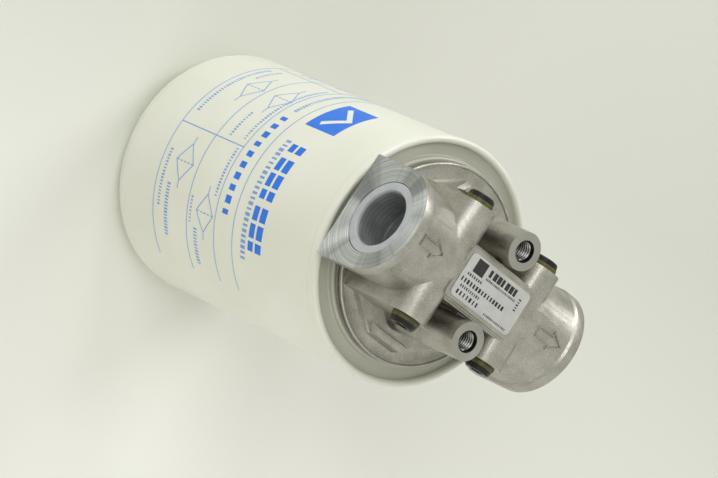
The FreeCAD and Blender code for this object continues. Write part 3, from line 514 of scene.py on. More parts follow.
def new_tree(name, sizes):
    """A geometry tree with named inputs; gives the tree and the sockets of its inputs."""
    tree = bpy.data.node_groups.new(name, "GeometryNodeTree")
    ends = [(label, label, None) for label in ("Geometry", "Material")]
    for label, kind, value in [ends[0], *sizes, ends[1]]:
        socket = tree.interface.new_socket(label, in_out="INPUT", socket_type=f"NodeSocket{kind}")
        if value is not None:
            socket.default_value = value
    tree.interface.new_socket("Geometry", in_out="OUTPUT", socket_type="NodeSocketGeometry")
    return tree, add_node(tree, "NodeGroupInput").outputs


def close_tree(tree, geometry, material):
    """Ends a tree with Realize Instances and Set Material."""
    real = add_node(tree, "GeometryNodeRealizeInstances", {"Geometry": geometry})
    painted = add_node(tree, "GeometryNodeSetMaterial", {"Geometry": real, "Material": material})
    add_node(tree, "NodeGroupOutput", {"Geometry": painted})
    return tree


def thread_tree():
    """Right-hand thread: a pointed ridge that winds along +Z and stands on a root radius."""
    tree, sizes = new_tree("screw_thread", [
        ("Root radius", "Float", 0.004), ("Depth", "Float", 0.0006), ("Pitch", "Float", 0.00125),
        ("Turns", "Float", 10.0), ("Points per turn", "Int", 48),
    ])
    pitch, root = sizes["Pitch"], sizes["Root radius"]
    length = maths(tree, "MULTIPLY", pitch, sizes["Turns"])
    spiral = add_node(tree, "GeometryNodeCurveSpiral", {
        "Resolution": sizes["Points per turn"], "Rotations": sizes["Turns"],
        "Start Radius": root, "End Radius": root, "Height": length, "Reverse": True,
    })
    level = add_node(tree, "GeometryNodeSetCurveNormal", {"Curve": spiral}, mode="Z_UP")
    ridge = add_node(tree, "GeometryNodeCurvePrimitiveCircle", {"Resolution": 4, "Radius": 1.0})
    # A little under half a pitch, so that the turns stay apart
    half_pitch = maths(tree, "MULTIPLY", pitch, 0.47)
    shape = add_node(tree, "ShaderNodeCombineXYZ", {0: sizes["Depth"], 1: half_pitch, 2: 1.0})
    profile = add_node(tree, "GeometryNodeTransform", {"Geometry": ridge, "Scale": shape})
    swept = add_node(tree, "GeometryNodeCurveToMesh", {
        "Curve": level, "Profile Curve": profile, "Fill Caps": True,
    })
    return close_tree(tree, swept, sizes["Material"])


def row_tree():
    """Rows of small bars in place of lettering: each edge of the mesh is one row."""
    tree, sizes = new_tree("printed_rows", [("Pitch", "Float", 0.001), ("Seed", "Int", 1)])
    pitch = sizes["Pitch"]
    curve = add_node(tree, "GeometryNodeMeshToCurve", {"Mesh": sizes["Geometry"]})
    evenly = {"Curve": curve, "Length": pitch}
    points = add_node(tree, "GeometryNodeResampleCurve", evenly, mode="LENGTH")
    # A bar takes 0.35 to 0.7 of its pitch
    share = add_node(tree, "FunctionNodeRandomValue", {2: 0.35, 3: 0.7, "Seed": sizes["Seed"]})
    wide = maths(tree, "MULTIPLY", share.outputs[1], pitch)
    tall = add_node(tree, "GeometryNodeInputNamedAttribute", {"Name": "tall"})
    scale = add_node(tree, "ShaderNodeCombineXYZ", {0: wide, 1: tall, 2: 1.0})
    along = add_node(tree, "GeometryNodeInputTangent")
    turn = add_node(tree, "FunctionNodeAlignRotationToVector", {"Vector": along}, axis="X")
    bar = add_node(tree, "GeometryNodeMeshGrid", {
        "Size X": 1.0, "Size Y": 1.0, "Vertices X": 2, "Vertices Y": 2,
    })
    bars = add_node(tree, "GeometryNodeInstanceOnPoints", {
        "Points": points, "Instance": bar, "Rotation": turn, "Scale": scale,
    })
    return close_tree(tree, bars, sizes["Material"])


def wrap_tree():
    """Bends flat art, with X along the circumference, around the Z axis."""
    tree, sizes = new_tree("wrapped_art", [("Radius", "Float", 0.048)])
    radius = sizes["Radius"]
    flat = add_node(tree, "GeometryNodeInputPosition")
    spot = add_node(tree, "ShaderNodeSeparateXYZ", {0: flat})
    turn = maths(tree, "DIVIDE", spot, radius)
    out, across = [
        maths(tree, "MULTIPLY", maths(tree, part, turn), radius) for part in ("COSINE", "SINE")]
    place = add_node(tree, "ShaderNodeCombineXYZ", {0: out, 1: across, 2: spot.outputs[1]})
    moved = add_node(tree, "GeometryNodeSetPosition", {
        "Geometry": sizes["Geometry"], "Position": place,
    })
    return close_tree(tree, moved, sizes["Material"])


def grown(name, tree, mesh, inputs):
    """The plain mesh that a geometry tree makes with the given inputs."""
    return modified(name, mesh or bpy.data.meshes.new(name), "NODES", inputs, node_group=tree)


def printed_rows(name, tree, rows, pitch, seed, material):
    """Flat bars along (start, end, height) rows."""
    mesh = bpy.data.meshes.new(name)
    ends = [(*spot, 0) for start, end, _ in rows for spot in (start, end)]
    mesh.from_pydata(ends, [(i, i + 1) for i in range(0, len(ends), 2)], [])
    heights = [height for _, _, height in rows for _ in range(2)]
    mesh.attributes.new("tall", "FLOAT", "POINT").data.foreach_set("value", heights)
    return grown(name, tree, mesh, {"Pitch": pitch, "Seed": seed, "Material": material})


def wound_thread(name, tree, root, depth, pitch, length, place, points=96):
    """A thread of a given length, put in its place by a matrix."""
    thread = grown(name, tree, None, {
        "Root radius": root, "Depth": depth, "Pitch": pitch, "Turns": length / pitch,
        "Points per turn": points,
    })
    thread.transform(place)
    return thread


# Settings

def length(name, description, size_mm):
    """A length property with its default in millimetres."""
    return FloatProperty(name=name, description=description, default=size_mm * MM,
                         unit="LENGTH", precision=5)


def tint(name, description, code):
    """A colour property with its default as a hex value."""
    return FloatVectorProperty(name=name, description=description, default=linear(code),
                               subtype="COLOR")


def power(name, description, watts):
    """A lamp's power property."""
    return FloatProperty(name=name, description=description, default=watts, unit="POWER")


class StageSettings(bpy.types.PropertyGroup):
    camera_place: FloatVectorProperty(
        name="Camera place", description="Where the camera stands",
        default=(-1.13194, -0.21389, 1.49651), subtype="TRANSLATION", unit="LENGTH")
    camera_turn: FloatVectorProperty(
        name="Camera turn", description="How the camera is turned",
        default=[math.radians(angle) for angle in (-18.7627, -35.4474, 40.9880)],
        subtype="EULER", unit="ROTATION")
    lens: FloatProperty(
        name="Lens", description="Focal length on a 36 mm wide sensor, in millimetres",
        default=240.9, unit="CAMERA")
    # The floor's two colours paint the falloff of light from the near side to the far side
    floor_colour: tint("Floor", "Colour of the floor on the near side", "#FAFBF3")
    floor_shade: tint("Floor shade", "Colour of the floor on the far side", "#DBDDD3")
    backdrop: tint("Backdrop", "Colour far behind the filter on the bright side", "#EDEEE6")
    backdrop_shade: tint("Backdrop shade", "Colour far behind it on the dim side", "#A9AAA5")
    key_power: power("Key light", "Power of the soft light overhead", 8.0)
    card_power: power("Card", "Power of the low light before the inlet", 0.8)
    strip_power: power("Strip", "Power of the low light beside the inlet", 6.0)
    fill_power: power("Fill light", "Power of the light on the near side", 3.0)
    back_power: power("Back light", "Power of the light on the far side", 7.0)
    world_level: FloatProperty(
        name="World level", description="Brightness of the surroundings", default=0.72)


class CanisterSettings(bpy.types.PropertyGroup):
    paint: tint("Paint", "Colour of the canister", "#EAEBDF")
    # The cover's colour is its own greyer paint, made darker still as painted shade of the channel
    cover_paint_and_shade: tint("Cover", "Colour of the stamped cover", "#BCBDAE")
    sheet: length("Sheet", "Thickness of the canister steel", 0.8)
    corner: length("Corner", "Outer radius of the corner at the closed end", 10)
    foot_width: length("Foot width", "Width of the ring that the closed end stands on", 4)
    end_rise: length("End rise", "How far the middle of the closed end stands above that ring", 2)
    rim_flare: length("Rim flare", "How far the rolled rim stands out", 0.5)
    rim_depth: length("Rim depth", "Height of the rolled rim", 4.4)
    rim_width: length("Rim width", "Width of the rolled rim", 2.75)
    channel_width: length("Channel width", "Width of the channel inside the rim", 5.25)
    channel_depth: length("Channel depth", "Depth of that channel", 2.2)
    bead_width: length("Bead width", "Width of the raised ring", 2.4)
    segments: IntProperty(
        name="Segments", description="Facets around the canister", default=192, min=32)


class PrintSettings(bpy.types.PropertyGroup):
    bold_ink: tint("Bold ink", "Colour of the solid fields", "#0E76E8")
    fine_ink: tint("Fine ink", "Colour of thin lines and rows", "#7FA6DE")
    line: length("Line", "Width of the thin lines", 0.45)
    film: length("Film", "Thickness of the print", 0.05)


class HeadSettings(bpy.types.PropertyGroup):
    metal: tint("Casting", "Colour of the casting", "#AEABA3")
    machined: tint("Machined", "Colour of machined faces", "#D6D9D9")
    edge: length("Edge", "Most that the cast edges are rounded", 0.35)
    port_thread_depth: length("Port thread depth", "Depth of the threads in the ports", 1.1)
    port_pitch: length("Port pitch", "Pitch of the threads in the ports", 1.814)
    boss_thread_depth: length("Hole thread depth", "Depth of the mounting threads", 0.6)
    boss_pitch: length("Hole pitch", "Pitch of the mounting threads", 1.25)
    boss_thread_length: length("Hole thread length", "Length of the mounting threads", 18.5)
    arrow_height: length("Arrow height", "How far the cast arrows stand out", 0.6)
    arrow_line: length("Arrow line", "Width of the line of the cast arrows", 0.65)


class FittingSettings(bpy.types.PropertyGroup):
    plug: tint("Plugs", "Colour of the gauge plugs", "#131312")
    seal: tint("Plug seals", "Colour of the rings under the plugs", "#5A571D")
    cap: tint("Cap", "Colour of the inlet cap", "#C6CBCF")
    socket: length("Socket", "Half width of the hexagon socket", 2.5)
    socket_depth: length("Socket depth", "Depth of the hexagon socket", 1.9)
    ridge_depth: length("Ridge depth", "Depth of the grooves around the plugs", 0.35)
    label: tint("Label", "Colour of the label", "#CACAC8")
    label_ink: tint("Label ink", "Colour of the print on the label", "#232325")


# Operators

class FILTER_OT_stage(bpy.types.Operator):
    """Floor, lamps, world and camera"""
    bl_idname = "filter.stage"
    bl_label = "Stage"

    FLOOR_REACH = 6.0
    # Way to the near side of the filter, and where along it the floor gets paler: painted falloff
    # of light, darker on the far side
    NEAR_SIDE = (0.15, -1.0, 0.0)
    PAINTED_FALLOFF = (-0.06, 0.12)
    # Distances between which the floor fades to the backdrop
    FADE = (0.35, 1.1)
    # Way that the room's light comes from, and how far round it spreads
    LIGHT_SIDE = (0.5, -0.65, 0.55)
    LIGHT_SPREAD = (-0.3, 0.75)
    ROOM_TINTS = ("#1F1F1E", "#FFFDF6")
    # Place and width of each lamp
    LAMPS = {
        "key": ((-1.1, 0.35, 1.25), 0.8), "card": ((-1.3, -0.04, 0.34), 0.3),
        "strip": ((-0.65, 1.1, 0.3), 0.35), "fill": ((-0.1, -1.3, 0.8), 0.8),
        "back": ((0.4, 1.2, 0.75), 0.6),
    }
    SENSOR_MM = 36.0
    VIEW_END = 20.0

    def execute(self, context):
        settings = context.scene.filter_stage
        scene = context.scene
        scene.view_settings.view_transform = "Standard"
        scene.world = self.room(settings)

        mesh = bpy.data.meshes.new("floor")
        reach = self.FLOOR_REACH
        corners = [(*spot, 0) for spot in box_corners(-reach, reach, -reach, reach)]
        mesh.from_pydata(corners, [], [(0, 1, 2, 3)])
        mesh.materials.append(self.paper(settings))
        self.placed(scene, "floor", mesh)

        middle = Vector((0, 0, CAN_TOP / 2))
        for name, (place, width) in self.LAMPS.items():
            lamp = self.placed(scene, name, bpy.data.lights.new(name, "AREA"))
            lamp.data.energy = getattr(settings, f"{name}_power")
            lamp.data.size = width
            lamp.location = place
            lamp.rotation_euler = (middle - Vector(place)).to_track_quat("-Z", "Y").to_euler()

        camera = self.placed(scene, "camera", bpy.data.cameras.new("camera"))
        camera.data.sensor_width = self.SENSOR_MM
        camera.data.lens = settings.lens
        camera.data.clip_end = self.VIEW_END
        camera.location = settings.camera_place
        camera.rotation_euler = Euler(settings.camera_turn)
        scene.camera = camera
        return {"FINISHED"}

    def placed(self, scene, name, data):
        """An object of the stage in the scene."""
        item = bpy.data.objects.new(name, data)
        scene.collection.objects.link(item)
        return item

    def side_light(self, tree, way, dim, bright):
        """Colour that goes from dim to bright towards the way that the light comes from."""
        return blend(tree, toward(tree, way, self.LIGHT_SIDE, self.LIGHT_SPREAD), dim, bright)

    def show_backdrop(self, tree, settings, kind, way, share, lit):
        """Ends a tree with a shader that gives way, by a share, to the colour of the backdrop."""
        colour = self.side_light(tree, way, settings.backdrop_shade, settings.backdrop)
        seen = add_node(tree, kind, {"Color": colour, "Strength": 1.0})
        mixed = add_node(tree, "ShaderNodeMixShader", {0: share, 1: lit, 2: seen})
        end = next(node for node in tree.nodes if node.name.endswith("Output"))
        fill(end, {"Surface": mixed})

    def paper(self, settings):
        """Matt paper sweep with painted shade of light falling off, paler on the near side; far
        off it shows the backdrop.
        """
        material, tree, shader = new_material("plain_paper_sweep", {"Roughness": 0.9})
        where = add_node(tree, "ShaderNodeTexCoord").outputs["Object"]
        # Painted shade: the floor's colour darkens away from the near side
        near = toward(tree, where, self.NEAR_SIDE, self.PAINTED_FALLOFF)
        colour = blend(tree, near, settings.floor_shade, settings.floor_colour)
        fill(shader, {"Base Color": colour})
        reach = vectors(tree, "LENGTH", where).outputs["Value"]
        fade = spread(tree, reach, 0, 1, *self.FADE)
        far = maths(tree, "MULTIPLY", fade, shown_rays(tree))
        way = vectors(tree, "NORMALIZE", where)
        self.show_backdrop(tree, settings, "ShaderNodeEmission", way, far, shader)
        return material

    def room(self, settings):
        """Surroundings: a plain light from one side, with the backdrop for rays that show it."""
        world = bpy.data.worlds.new("room")
        world.use_nodes = True
        tree = world.node_tree
        way = add_node(tree, "ShaderNodeTexCoord").outputs["Generated"]
        light = fill(tree.nodes["Background"], {
            "Color": self.side_light(tree, way, *self.ROOM_TINTS),
            "Strength": settings.world_level,
        })
        self.show_backdrop(tree, settings, "ShaderNodeBackground", way, shown_rays(tree), light)
        return world


class FILTER_OT_canister(bpy.types.Operator):
    """Painted canister with its rolled rim, the stamped cover inside it and the gasket"""
    bl_idname = "filter.canister"
    bl_label = "Canister"

    DISH_ROUND = 3 * MM
    FOOT_ROUND = 2.5 * MM
    INNER_ROUND = 2 * MM
    RIM_ROUND = 1.3 * MM
    # Heights, from the foot of the rolled rim, between which the side flares out to it
    FLARE = (-0.7 * MM, 0.3 * MM)
    FLARE_ROUNDS = (1 * MM, 0.8 * MM)
    COVER_SHEET = 0.9 * MM
    # From the outside of the gasket to the hole in the cover
    COVER_LAP = 7.7 * MM
    # Roundings of the cover at its seat, crown and channel, then those of its under side
    COVER_ROUNDS = (0.4 * MM, 0.9 * MM, 0.8 * MM)
    UNDER_ROUNDS = (0.2 * MM, 0.3 * MM)
    GASKET_WIDTH = 6.5 * MM
    GASKET_ROUND = 0.6 * MM

    def execute(self, context):
        s = context.scene.filter_canister
        rim_inner = RIM_RADIUS - s.rim_width
        channel = CAN_TOP - s.channel_depth
        paint = stoved_enamel("stoved_enamel", s.paint, "#E4E5D7")
        # Cover enamel: its own greyer paint with painted shade of the channel
        coat = stoved_enamel("cover_enamel", s.cover_paint_and_shade, "#B2B4A4")
        rubber = moulded_rubber("black_nitrile_rubber", "#1E1E1D", "#161616")
        shell = self.shell(s, rim_inner, channel)
        cover = self.cover(s, rim_inner, channel)
        for name, section, material, slot, node in (
            ("canister_shell", shell, paint, "canister_paint", "can_shell"),
            ("stamped_cover", cover, coat, "cover_steel", "seam_cover"),
            ("gasket_ring", self.gasket(), rubber, "seal_rubber", "can_gasket"),
        ):
            mesh = turned_mesh(name, section, Vector(), UP, s.segments)
            publish(name, mesh, material, "canister", slot, node)
        return {"FINISHED"}

    def shell(self, s, rim_inner, channel):
        """Drawn shell: dished closed end on a foot ring, straight side and rolled rim."""
        body = RIM_RADIUS - s.rim_flare
        inner = body - s.sheet
        heel = body - s.corner - s.foot_width
        dish = heel - self.DISH_ROUND
        rim_foot = CAN_TOP - s.rim_depth
        (flare_foot, flare_head), (foot_round, head_round) = self.FLARE, self.FLARE_ROUNDS
        return rounded_section([
            (0, s.end_rise), (dish, s.end_rise, self.DISH_ROUND), (heel, 0, self.FOOT_ROUND),
            (body, 0, s.corner), (body, rim_foot + flare_foot, foot_round),
            (RIM_RADIUS, rim_foot + flare_head, head_round), (RIM_RADIUS, CAN_TOP, self.RIM_ROUND),
            (rim_inner, CAN_TOP, self.RIM_ROUND), (rim_inner, channel), (inner, channel),
            (inner, s.sheet, s.corner - s.sheet), (heel, s.sheet, self.INNER_ROUND),
            (dish, s.end_rise + s.sheet, self.INNER_ROUND), (0, s.end_rise + s.sheet),
        ], 8)

    def cover(self, s, rim_inner, channel):
        """Stamped cover: flat seat, raised ring, channel and an edge folded into the rim."""
        sheet = self.COVER_SHEET
        at_seat, at_crown, at_channel = self.COVER_ROUNDS
        under, under_crown = self.UNDER_ROUNDS
        seat = low("seam_cover").z + sheet
        crown = high("seam_cover").z
        outer = high("seam_cover").x
        bead = rim_inner - s.channel_width
        bead_inner = bead - s.bead_width
        hole = -low("can_gasket").x - self.COVER_LAP
        return rounded_section([
            (hole, seat - sheet), (hole, seat), (bead_inner, seat, at_seat),
            (bead_inner, crown, at_crown), (bead, crown, at_crown), (bead, channel, at_channel),
            (outer, channel), (outer, seat - sheet), (outer - sheet, seat - sheet),
            (outer - sheet, channel - sheet), (bead - sheet, channel - sheet, under),
            (bead - sheet, crown - sheet, under_crown),
            (bead_inner + sheet, crown - sheet, under), (bead_inner + sheet, seat - sheet),
        ])

    def gasket(self):
        """Rubber ring of a rounded square section."""
        outer, foot, head = high("can_gasket").x, low("can_gasket").z, high("can_gasket").z
        corners = box_corners(outer - self.GASKET_WIDTH, outer, foot, head)
        return rounded_section([(*corner, self.GASKET_ROUND) for corner in corners])


class FILTER_OT_print(bpy.types.Operator):
    """Blue lines, fields and rows of bars printed on the canister"""
    bl_idname = "filter.print"
    bl_label = "Print"

    # Places on the canister: degrees about the axis from +X, millimetres above the closed end
    RINGS = (30.8, 53.9, 72.4, 84.6)
    RING_ENDS = (62, 242)
    UPRIGHTS = (176, 118)
    UPRIGHT_ENDS = (30.8, 72.4)
    SYMBOLS = ((193, 45), (211, 65.3), (144, 46.5), (144, 65))
    EMBLEM = (128, 153, 89.6, 108.2)
    MARK = ((132, 95), (141, 104.5), (149, 95))
    # Rows of bars: from, to, level and height
    FINE_ROWS = (
        (190, 216, 34.4, 1.6), (205, 229, 39.5, 2.2), (206, 217.5, 56, 1.2),
        (220, 237, 59.7, 2.2), (178, 201, 69.8, 1.4), (159, 173, 61, 1.4),
        (126, 168, 34.4, 1.6), (124, 160, 69.8, 1.4), (124, 137, 39, 1.4),
        (80, 112, 39.5, 1.6), (78, 112, 45, 1.6), (80, 110, 60, 1.6),
        (154, 172, 69.6, 1.3), (100, 148, 78, 2.0),
    )
    SUBTITLE_ROW = (165, 223, 91.8, 2.9)
    NUMBER_ROW = (155, 206, 78, 3.6)
    # The large word: its turns, the heights of its two bands and its number of letters
    TITLE = (165, 222, ((95.0, 98.3), (99.6, 103.5)), 7)
    MARK_WIDTH = 2.2 * MM
    # Share of the ink's thickness that stands out from the paint
    PROUD = 0.7

    def execute(self, context):
        s = context.scene.filter_print
        radius = RIM_RADIUS - context.scene.filter_canister.rim_flare
        bold = printing_ink("bold_blue_ink", s.bold_ink, "#0F70DE")
        fine = printing_ink("fine_blue_ink", s.fine_ink, "#779DD4")
        tree = row_tree()

        def flat(spots):
            return [Vector((math.radians(turn) * radius, level * MM)) for turn, level in spots]

        def bars(name, places, pitch_mm, seed, ink):
            rows = [(*flat(((left, level), (right, level))), height * MM)
                    for left, right, level, height in places]
            return printed_rows(name, tree, rows, pitch_mm * MM, seed, ink)

        ends = [[(turn, level) for turn in self.RING_ENDS] for level in self.RINGS]
        ends += [[(turn, level) for level in self.UPRIGHT_ENDS] for turn in self.UPRIGHTS]
        lines = [(flat(pair), s.line, False) for pair in ends]
        for centre in flat(self.SYMBOLS):
            lines += self.filter_symbol(centre, s.line)
        self.wrap("canister_fine_print", [
            art_mesh("print_lines", lines),
            bars("print_rows", self.FINE_ROWS, 1.25, 4, fine),
            bars("print_subtitle", [self.SUBTITLE_ROW], 2.1, 9, fine),
        ], radius, s.film, fine)

        fields = [box_corners(*self.EMBLEM), *word_fields(*self.TITLE, wide=0.8, narrow=0.55)]
        self.wrap("canister_bold_print", [
            art_mesh("print_fields", fields=[flat(corners) for corners in fields]),
            bars("print_number", [self.NUMBER_ROW], 4.6, 2, bold),
        ], radius, s.film, bold)

        mark = art_mesh("print_mark", [(flat(self.MARK), self.MARK_WIDTH, False)])
        enamel = bpy.data.materials["stoved_enamel"]
        self.wrap("canister_emblem_mark", [mark], radius + s.film, s.film, enamel)
        return {"FINISHED"}

    def filter_symbol(self, centre, width):
        """The drawing symbol of a filter: a square on its corner, a dashed line and two leads."""
        wide, tall, lead = 7.5 * MM, 5.5 * MM, 3 * MM
        dashes, gap, dash = 5, 0.2, 0.6

        def placed(*ways):
            return [centre + Vector(way) for way in ways]

        lines = [(placed((wide, 0), (0, tall), (-wide, 0), (0, -tall)), width, True)]
        for side in (-1, 1):
            lines.append((placed((side * wide, 0), (side * (wide + lead), 0)), width, False))
        for i in range(dashes):
            start = -tall + 2 * tall * (i + gap) / dashes
            end = start + 2 * tall * dash / dashes
            lines.append((placed((0, start), (0, end)), width, False))
        return lines

    def wrap(self, name, sheets, radius, film, ink):
        """Bends flat sheets around the canister and gives them the thickness of a film of ink."""
        proud = radius + film * self.PROUD
        bent = grown(name, wrap_tree(), joined(name, sheets), {"Radius": proud, "Material": ink})
        publish(name, with_thickness(name, bent, film), ink, "canister", "canister_paint")


class FILTER_OT_head(bpy.types.Operator):
    """Cast head with machined ports, cut threads and cast arrows"""
    bl_idname = "filter.head"
    bl_label = "Head"

    # Rounding of the cast edges: its steps, and the sharpest turn that is left as it is
    EDGE_STEPS, EDGE_ANGLE = 3, math.radians(35)
    # Degrees up to which faces are shaded as one
    SMOOTH = 30
    PORT_DEPTH = 18.0 * MM
    PORT_RECESS = 1.6 * MM
    RECESS_RADIUS = 14.9 * MM
    BOSS_DEPTH = 20.0 * MM
    # Room left at the ends of the threads
    PORT_THREAD_ROOM = 0.6 * MM
    PORT_THREAD_START = 0.5 * MM
    BOSS_THREAD_ROOM = 0.9 * MM
    # Half width of the port boss at a distance from the canister axis
    BARREL = ((16.0 * MM, 18.2 * MM), (43.2 * MM, 20.4 * MM))
    # Tails of the cast arrows along X, and their outline from the tail in millimetres
    ARROW_TAILS = (-42.2 * MM, 28.2 * MM)
    ARROW = ((0, -1.95), (7.2, -1.95), (7.2, -3.5), (12.6, 0), (7.2, 3.5), (7.2, 1.95), (0, 1.95))
    ARROW_STEP = 0.8 * MM
    # How near a point must be to a plane or circle to count as on it
    NEAR = 0.1 * MM
    HAIR = 0.03 * MM
    SLACK = 0.01 * MM
    # How squarely a machined face looks along its axis
    SQUARE_TO_PORT = 0.98
    SQUARE_TO_BOSS = 0.97
    # Where tapped metal ends: past the thread crests, towards the middle, and below the holes
    PORT_TAP_REACH = PORT_CREST + 1.3 * MM
    PORT_TAP_END = 16 * MM
    HOLE_TAP_REACH = 4.6 * MM
    HOLE_TAP_ROOM = 2 * MM
    # Numbers of the finishes
    CAST, FACED, BOSS_FACE, PORT_TAP, HOLE_TAP, SKIN = range(6)

    def execute(self, context):
        s = context.scene.filter_head
        casting = merged_copy("head_casting", "cast_head")
        self.open_tapped_holes(casting, s)
        casting = modified(
            "cast_head", casting, "BEVEL", width=s.edge, segments=self.EDGE_STEPS,
            limit_method="ANGLE", angle_limit=self.EDGE_ANGLE, use_clamp_overlap=True)
        arrows = [self.cast_arrow(tail, s) for tail in self.ARROW_TAILS]
        whole = joined("cast_head", [casting, *self.threads(s), *arrows])

        port, hole = Vector((0, 0, PORT_AXIS)), Vector((0, BOSS_REACH, 0))
        # In the order of the finishes' numbers
        for material in (
            die_cast_aluminium("die_cast_aluminium", s.metal, "#9D9A90"),
            faced_aluminium("faced_port_aluminium", s.machined, "#B4B8B8", port, 0),
            plain_metal("machined_boss_aluminium", "#B0AEA7", "#A3A199", 0.5, (0.34, 0.46)),
            tapped_aluminium("tapped_port_aluminium", port, 0, PORT_CREST, s.port_thread_depth),
            tapped_aluminium("tapped_hole_aluminium", hole, 2, BOSS_CREST, s.boss_thread_depth),
            # Darker casting for the arrows: painted shade along their raised outlines
            die_cast_aluminium("die_cast_dull_skin", "#A19E97", "#93908A"),
        ):
            whole.materials.append(material)
        first_arrow_face = len(whole.polygons) - sum(len(arrow.polygons) for arrow in arrows)
        for face in whole.polygons:
            on_arrow = face.index >= first_arrow_face
            # Arrow faces take the darker casting of painted shade
            face.material_index = self.SKIN if on_arrow else self.finish_of(face)
        soften(whole, self.SMOOTH)
        publish("cast_head", whole, None, "head", "cast_head", "head_casting")
        return {"FINISHED"}

    def open_tapped_holes(self, mesh, s):
        """Widens the tapped holes from thread crest to thread root, to take the cut threads."""
        for vert in mesh.vertices:
            spot = vert.co
            out = Vector((0, spot.y, spot.z - PORT_AXIS))
            depth = PORT_FACE - abs(spot.x)
            in_port = self.PORT_RECESS - self.SLACK < depth < self.PORT_DEPTH + self.SLACK
            if in_port and abs(out.length - PORT_CREST) < self.HAIR:
                vert.co = spot + out.normalized() * s.port_thread_depth
            out = Vector((spot.x, spot.y - math.copysign(BOSS_REACH, spot.y), 0))
            in_boss = spot.z > BOSS_TOP - self.BOSS_DEPTH - self.SLACK
            if in_boss and abs(out.length - BOSS_CREST) < self.HAIR:
                vert.co = spot + out.normalized() * s.boss_thread_depth

    def finish_of(self, face):
        """Number of the finish of a face of the casting or of a thread."""
        spot, normal = face.center, face.normal
        from_port = math.hypot(spot.y, spot.z - PORT_AXIS)
        from_hole = math.hypot(spot.x, abs(spot.y) - BOSS_REACH)
        from_face, from_top = PORT_FACE - abs(spot.x), BOSS_TOP - spot.z
        if abs(normal.x) > self.SQUARE_TO_PORT and from_face < self.NEAR:
            return self.FACED
        if from_port < self.RECESS_RADIUS + self.NEAR and from_face < self.PORT_RECESS + self.NEAR:
            return self.FACED
        if from_port < self.PORT_TAP_REACH and abs(spot.x) > self.PORT_TAP_END:
            return self.PORT_TAP
        if normal.z > self.SQUARE_TO_BOSS and from_top < self.NEAR / 2:
            return self.BOSS_FACE
        if from_hole < self.HOLE_TAP_REACH and from_top < self.BOSS_DEPTH + self.HOLE_TAP_ROOM:
            return self.HOLE_TAP
        return self.CAST

    def threads(self, s):
        """Cut threads of both ports and both mounting holes."""
        tree = thread_tree()
        made = []
        reach = PORT_FACE - self.PORT_DEPTH + self.PORT_THREAD_START
        for side, facing in ((-1, AGAINST_X), (1, ALONG_X)):
            place = Matrix.Translation((side * reach, 0, PORT_AXIS)) @ facing.to_4x4()
            made.append(wound_thread(
                "port_thread", tree, PORT_CREST + s.port_thread_depth, s.port_thread_depth,
                s.port_pitch, PORT_THREAD_LENGTH - self.PORT_THREAD_ROOM, place))
        level = BOSS_TOP - s.boss_thread_length - self.BOSS_THREAD_ROOM
        for side in (-1, 1):
            place = Matrix.Translation((0, side * BOSS_REACH, level))
            made.append(wound_thread(
                "mounting_thread", tree, BOSS_CREST + s.boss_thread_depth, s.boss_thread_depth,
                s.boss_pitch, s.boss_thread_length, place, points=48))
        return made

    def cast_arrow(self, tail, s):
        """Raised outline of a flow arrow on the crest of a port boss."""
        points = [(tail + along * MM, across * MM) for along, across in self.ARROW]
        (near, near_radius), (far, far_radius) = self.BARREL

        def on_barrel(spot):
            share = (abs(spot.x) - near) / (far - near)
            radius = near_radius + (far_radius - near_radius) * share + s.arrow_height
            turn = spot.y / radius
            level = PORT_AXIS + radius * math.cos(turn)
            return Vector((spot.x, -radius * math.sin(turn), level))

        lines = [(points, s.arrow_line, True)]
        sheet = art_mesh("cast_arrow", lines, place=on_barrel, step=self.ARROW_STEP)
        form = bmesh.new()
        form.from_mesh(sheet)
        downward = [face for face in form.faces if face.normal.z < 0]
        bmesh.ops.reverse_faces(form, faces=downward)
        return with_thickness("cast_arrow", written(form, sheet), s.arrow_height * 2)


class FILTER_OT_label(bpy.types.Operator):
    """Foil label with a dark square, rows of bars and no lettering"""
    bl_idname = "filter.label"
    bl_label = "Label"

    # Places on the label in millimetres from the middle of the head: left, right, foot, head
    SQUARE = (-13.4, -7.7, 2.5, 8.0)
    NAME = (-5.6, 11.2, 4.4, 7.3)
    NAME_LETTERS = 7
    # Rows of bars: start, end and height, then the pitch of the bars and the seed
    ROWS = (
        ((-5.5, 3.3), (11.2, 3.3), 0.85, 0.75, 3), ((-14.4, 1.0), (-7.0, 1.0), 1.1, 1.1, 5),
        ((-15.6, -1.7), (8.2, -1.7), 1.75, 1.65, 8), ((-14.4, -4.1), (-4.1, -4.1), 1.1, 1.1, 6),
        ((-14.4, -6.6), (-3.1, -6.6), 1.75, 1.65, 7), ((2.2, -7.4), (14.6, -7.4), 0.75, 0.8, 11),
        ((13.5, 4.9), (13.5, 0.6), 1.2, 1.0, 4),
    )
    # Thickness of the print, and the share of it that is sunk into the label
    FILM, SUNK = 0.03 * MM, 0.4

    def execute(self, context):
        s = context.scene.filter_fittings
        finish_node("head_label", foil_label("silver_foil_label", s.label, "#C2C2BF"))
        ink = printing_ink("black_label_ink", s.label_ink, "#1C1C1E")
        square, (left, right, foot, head) = [
            [value * MM for value in sides] for sides in (self.SQUARE, self.NAME)]
        word = word_fields(left, right, [(foot, head)], self.NAME_LETTERS, wide=0.84, narrow=0.6)
        tree = row_tree()
        sheets = [art_mesh("label_fields", fields=[box_corners(*square), *word])]
        for start, end, height, pitch, seed in self.ROWS:
            ends = [[value * MM for value in spot] for spot in (start, end)]
            row = (*ends, height * MM)
            sheets.append(printed_rows("label_row", tree, [row], pitch * MM, seed, ink))
        sheet = joined("label_print", sheets)
        sunk = self.FILM * self.SUNK
        sheet.transform(Matrix.Translation((0, 0, high("head_label").z - sunk)))
        lifted = with_thickness("label_print", sheet, -self.FILM)
        publish("label_print", lifted, ink, "head", "label_foil")
        return {"FINISHED"}


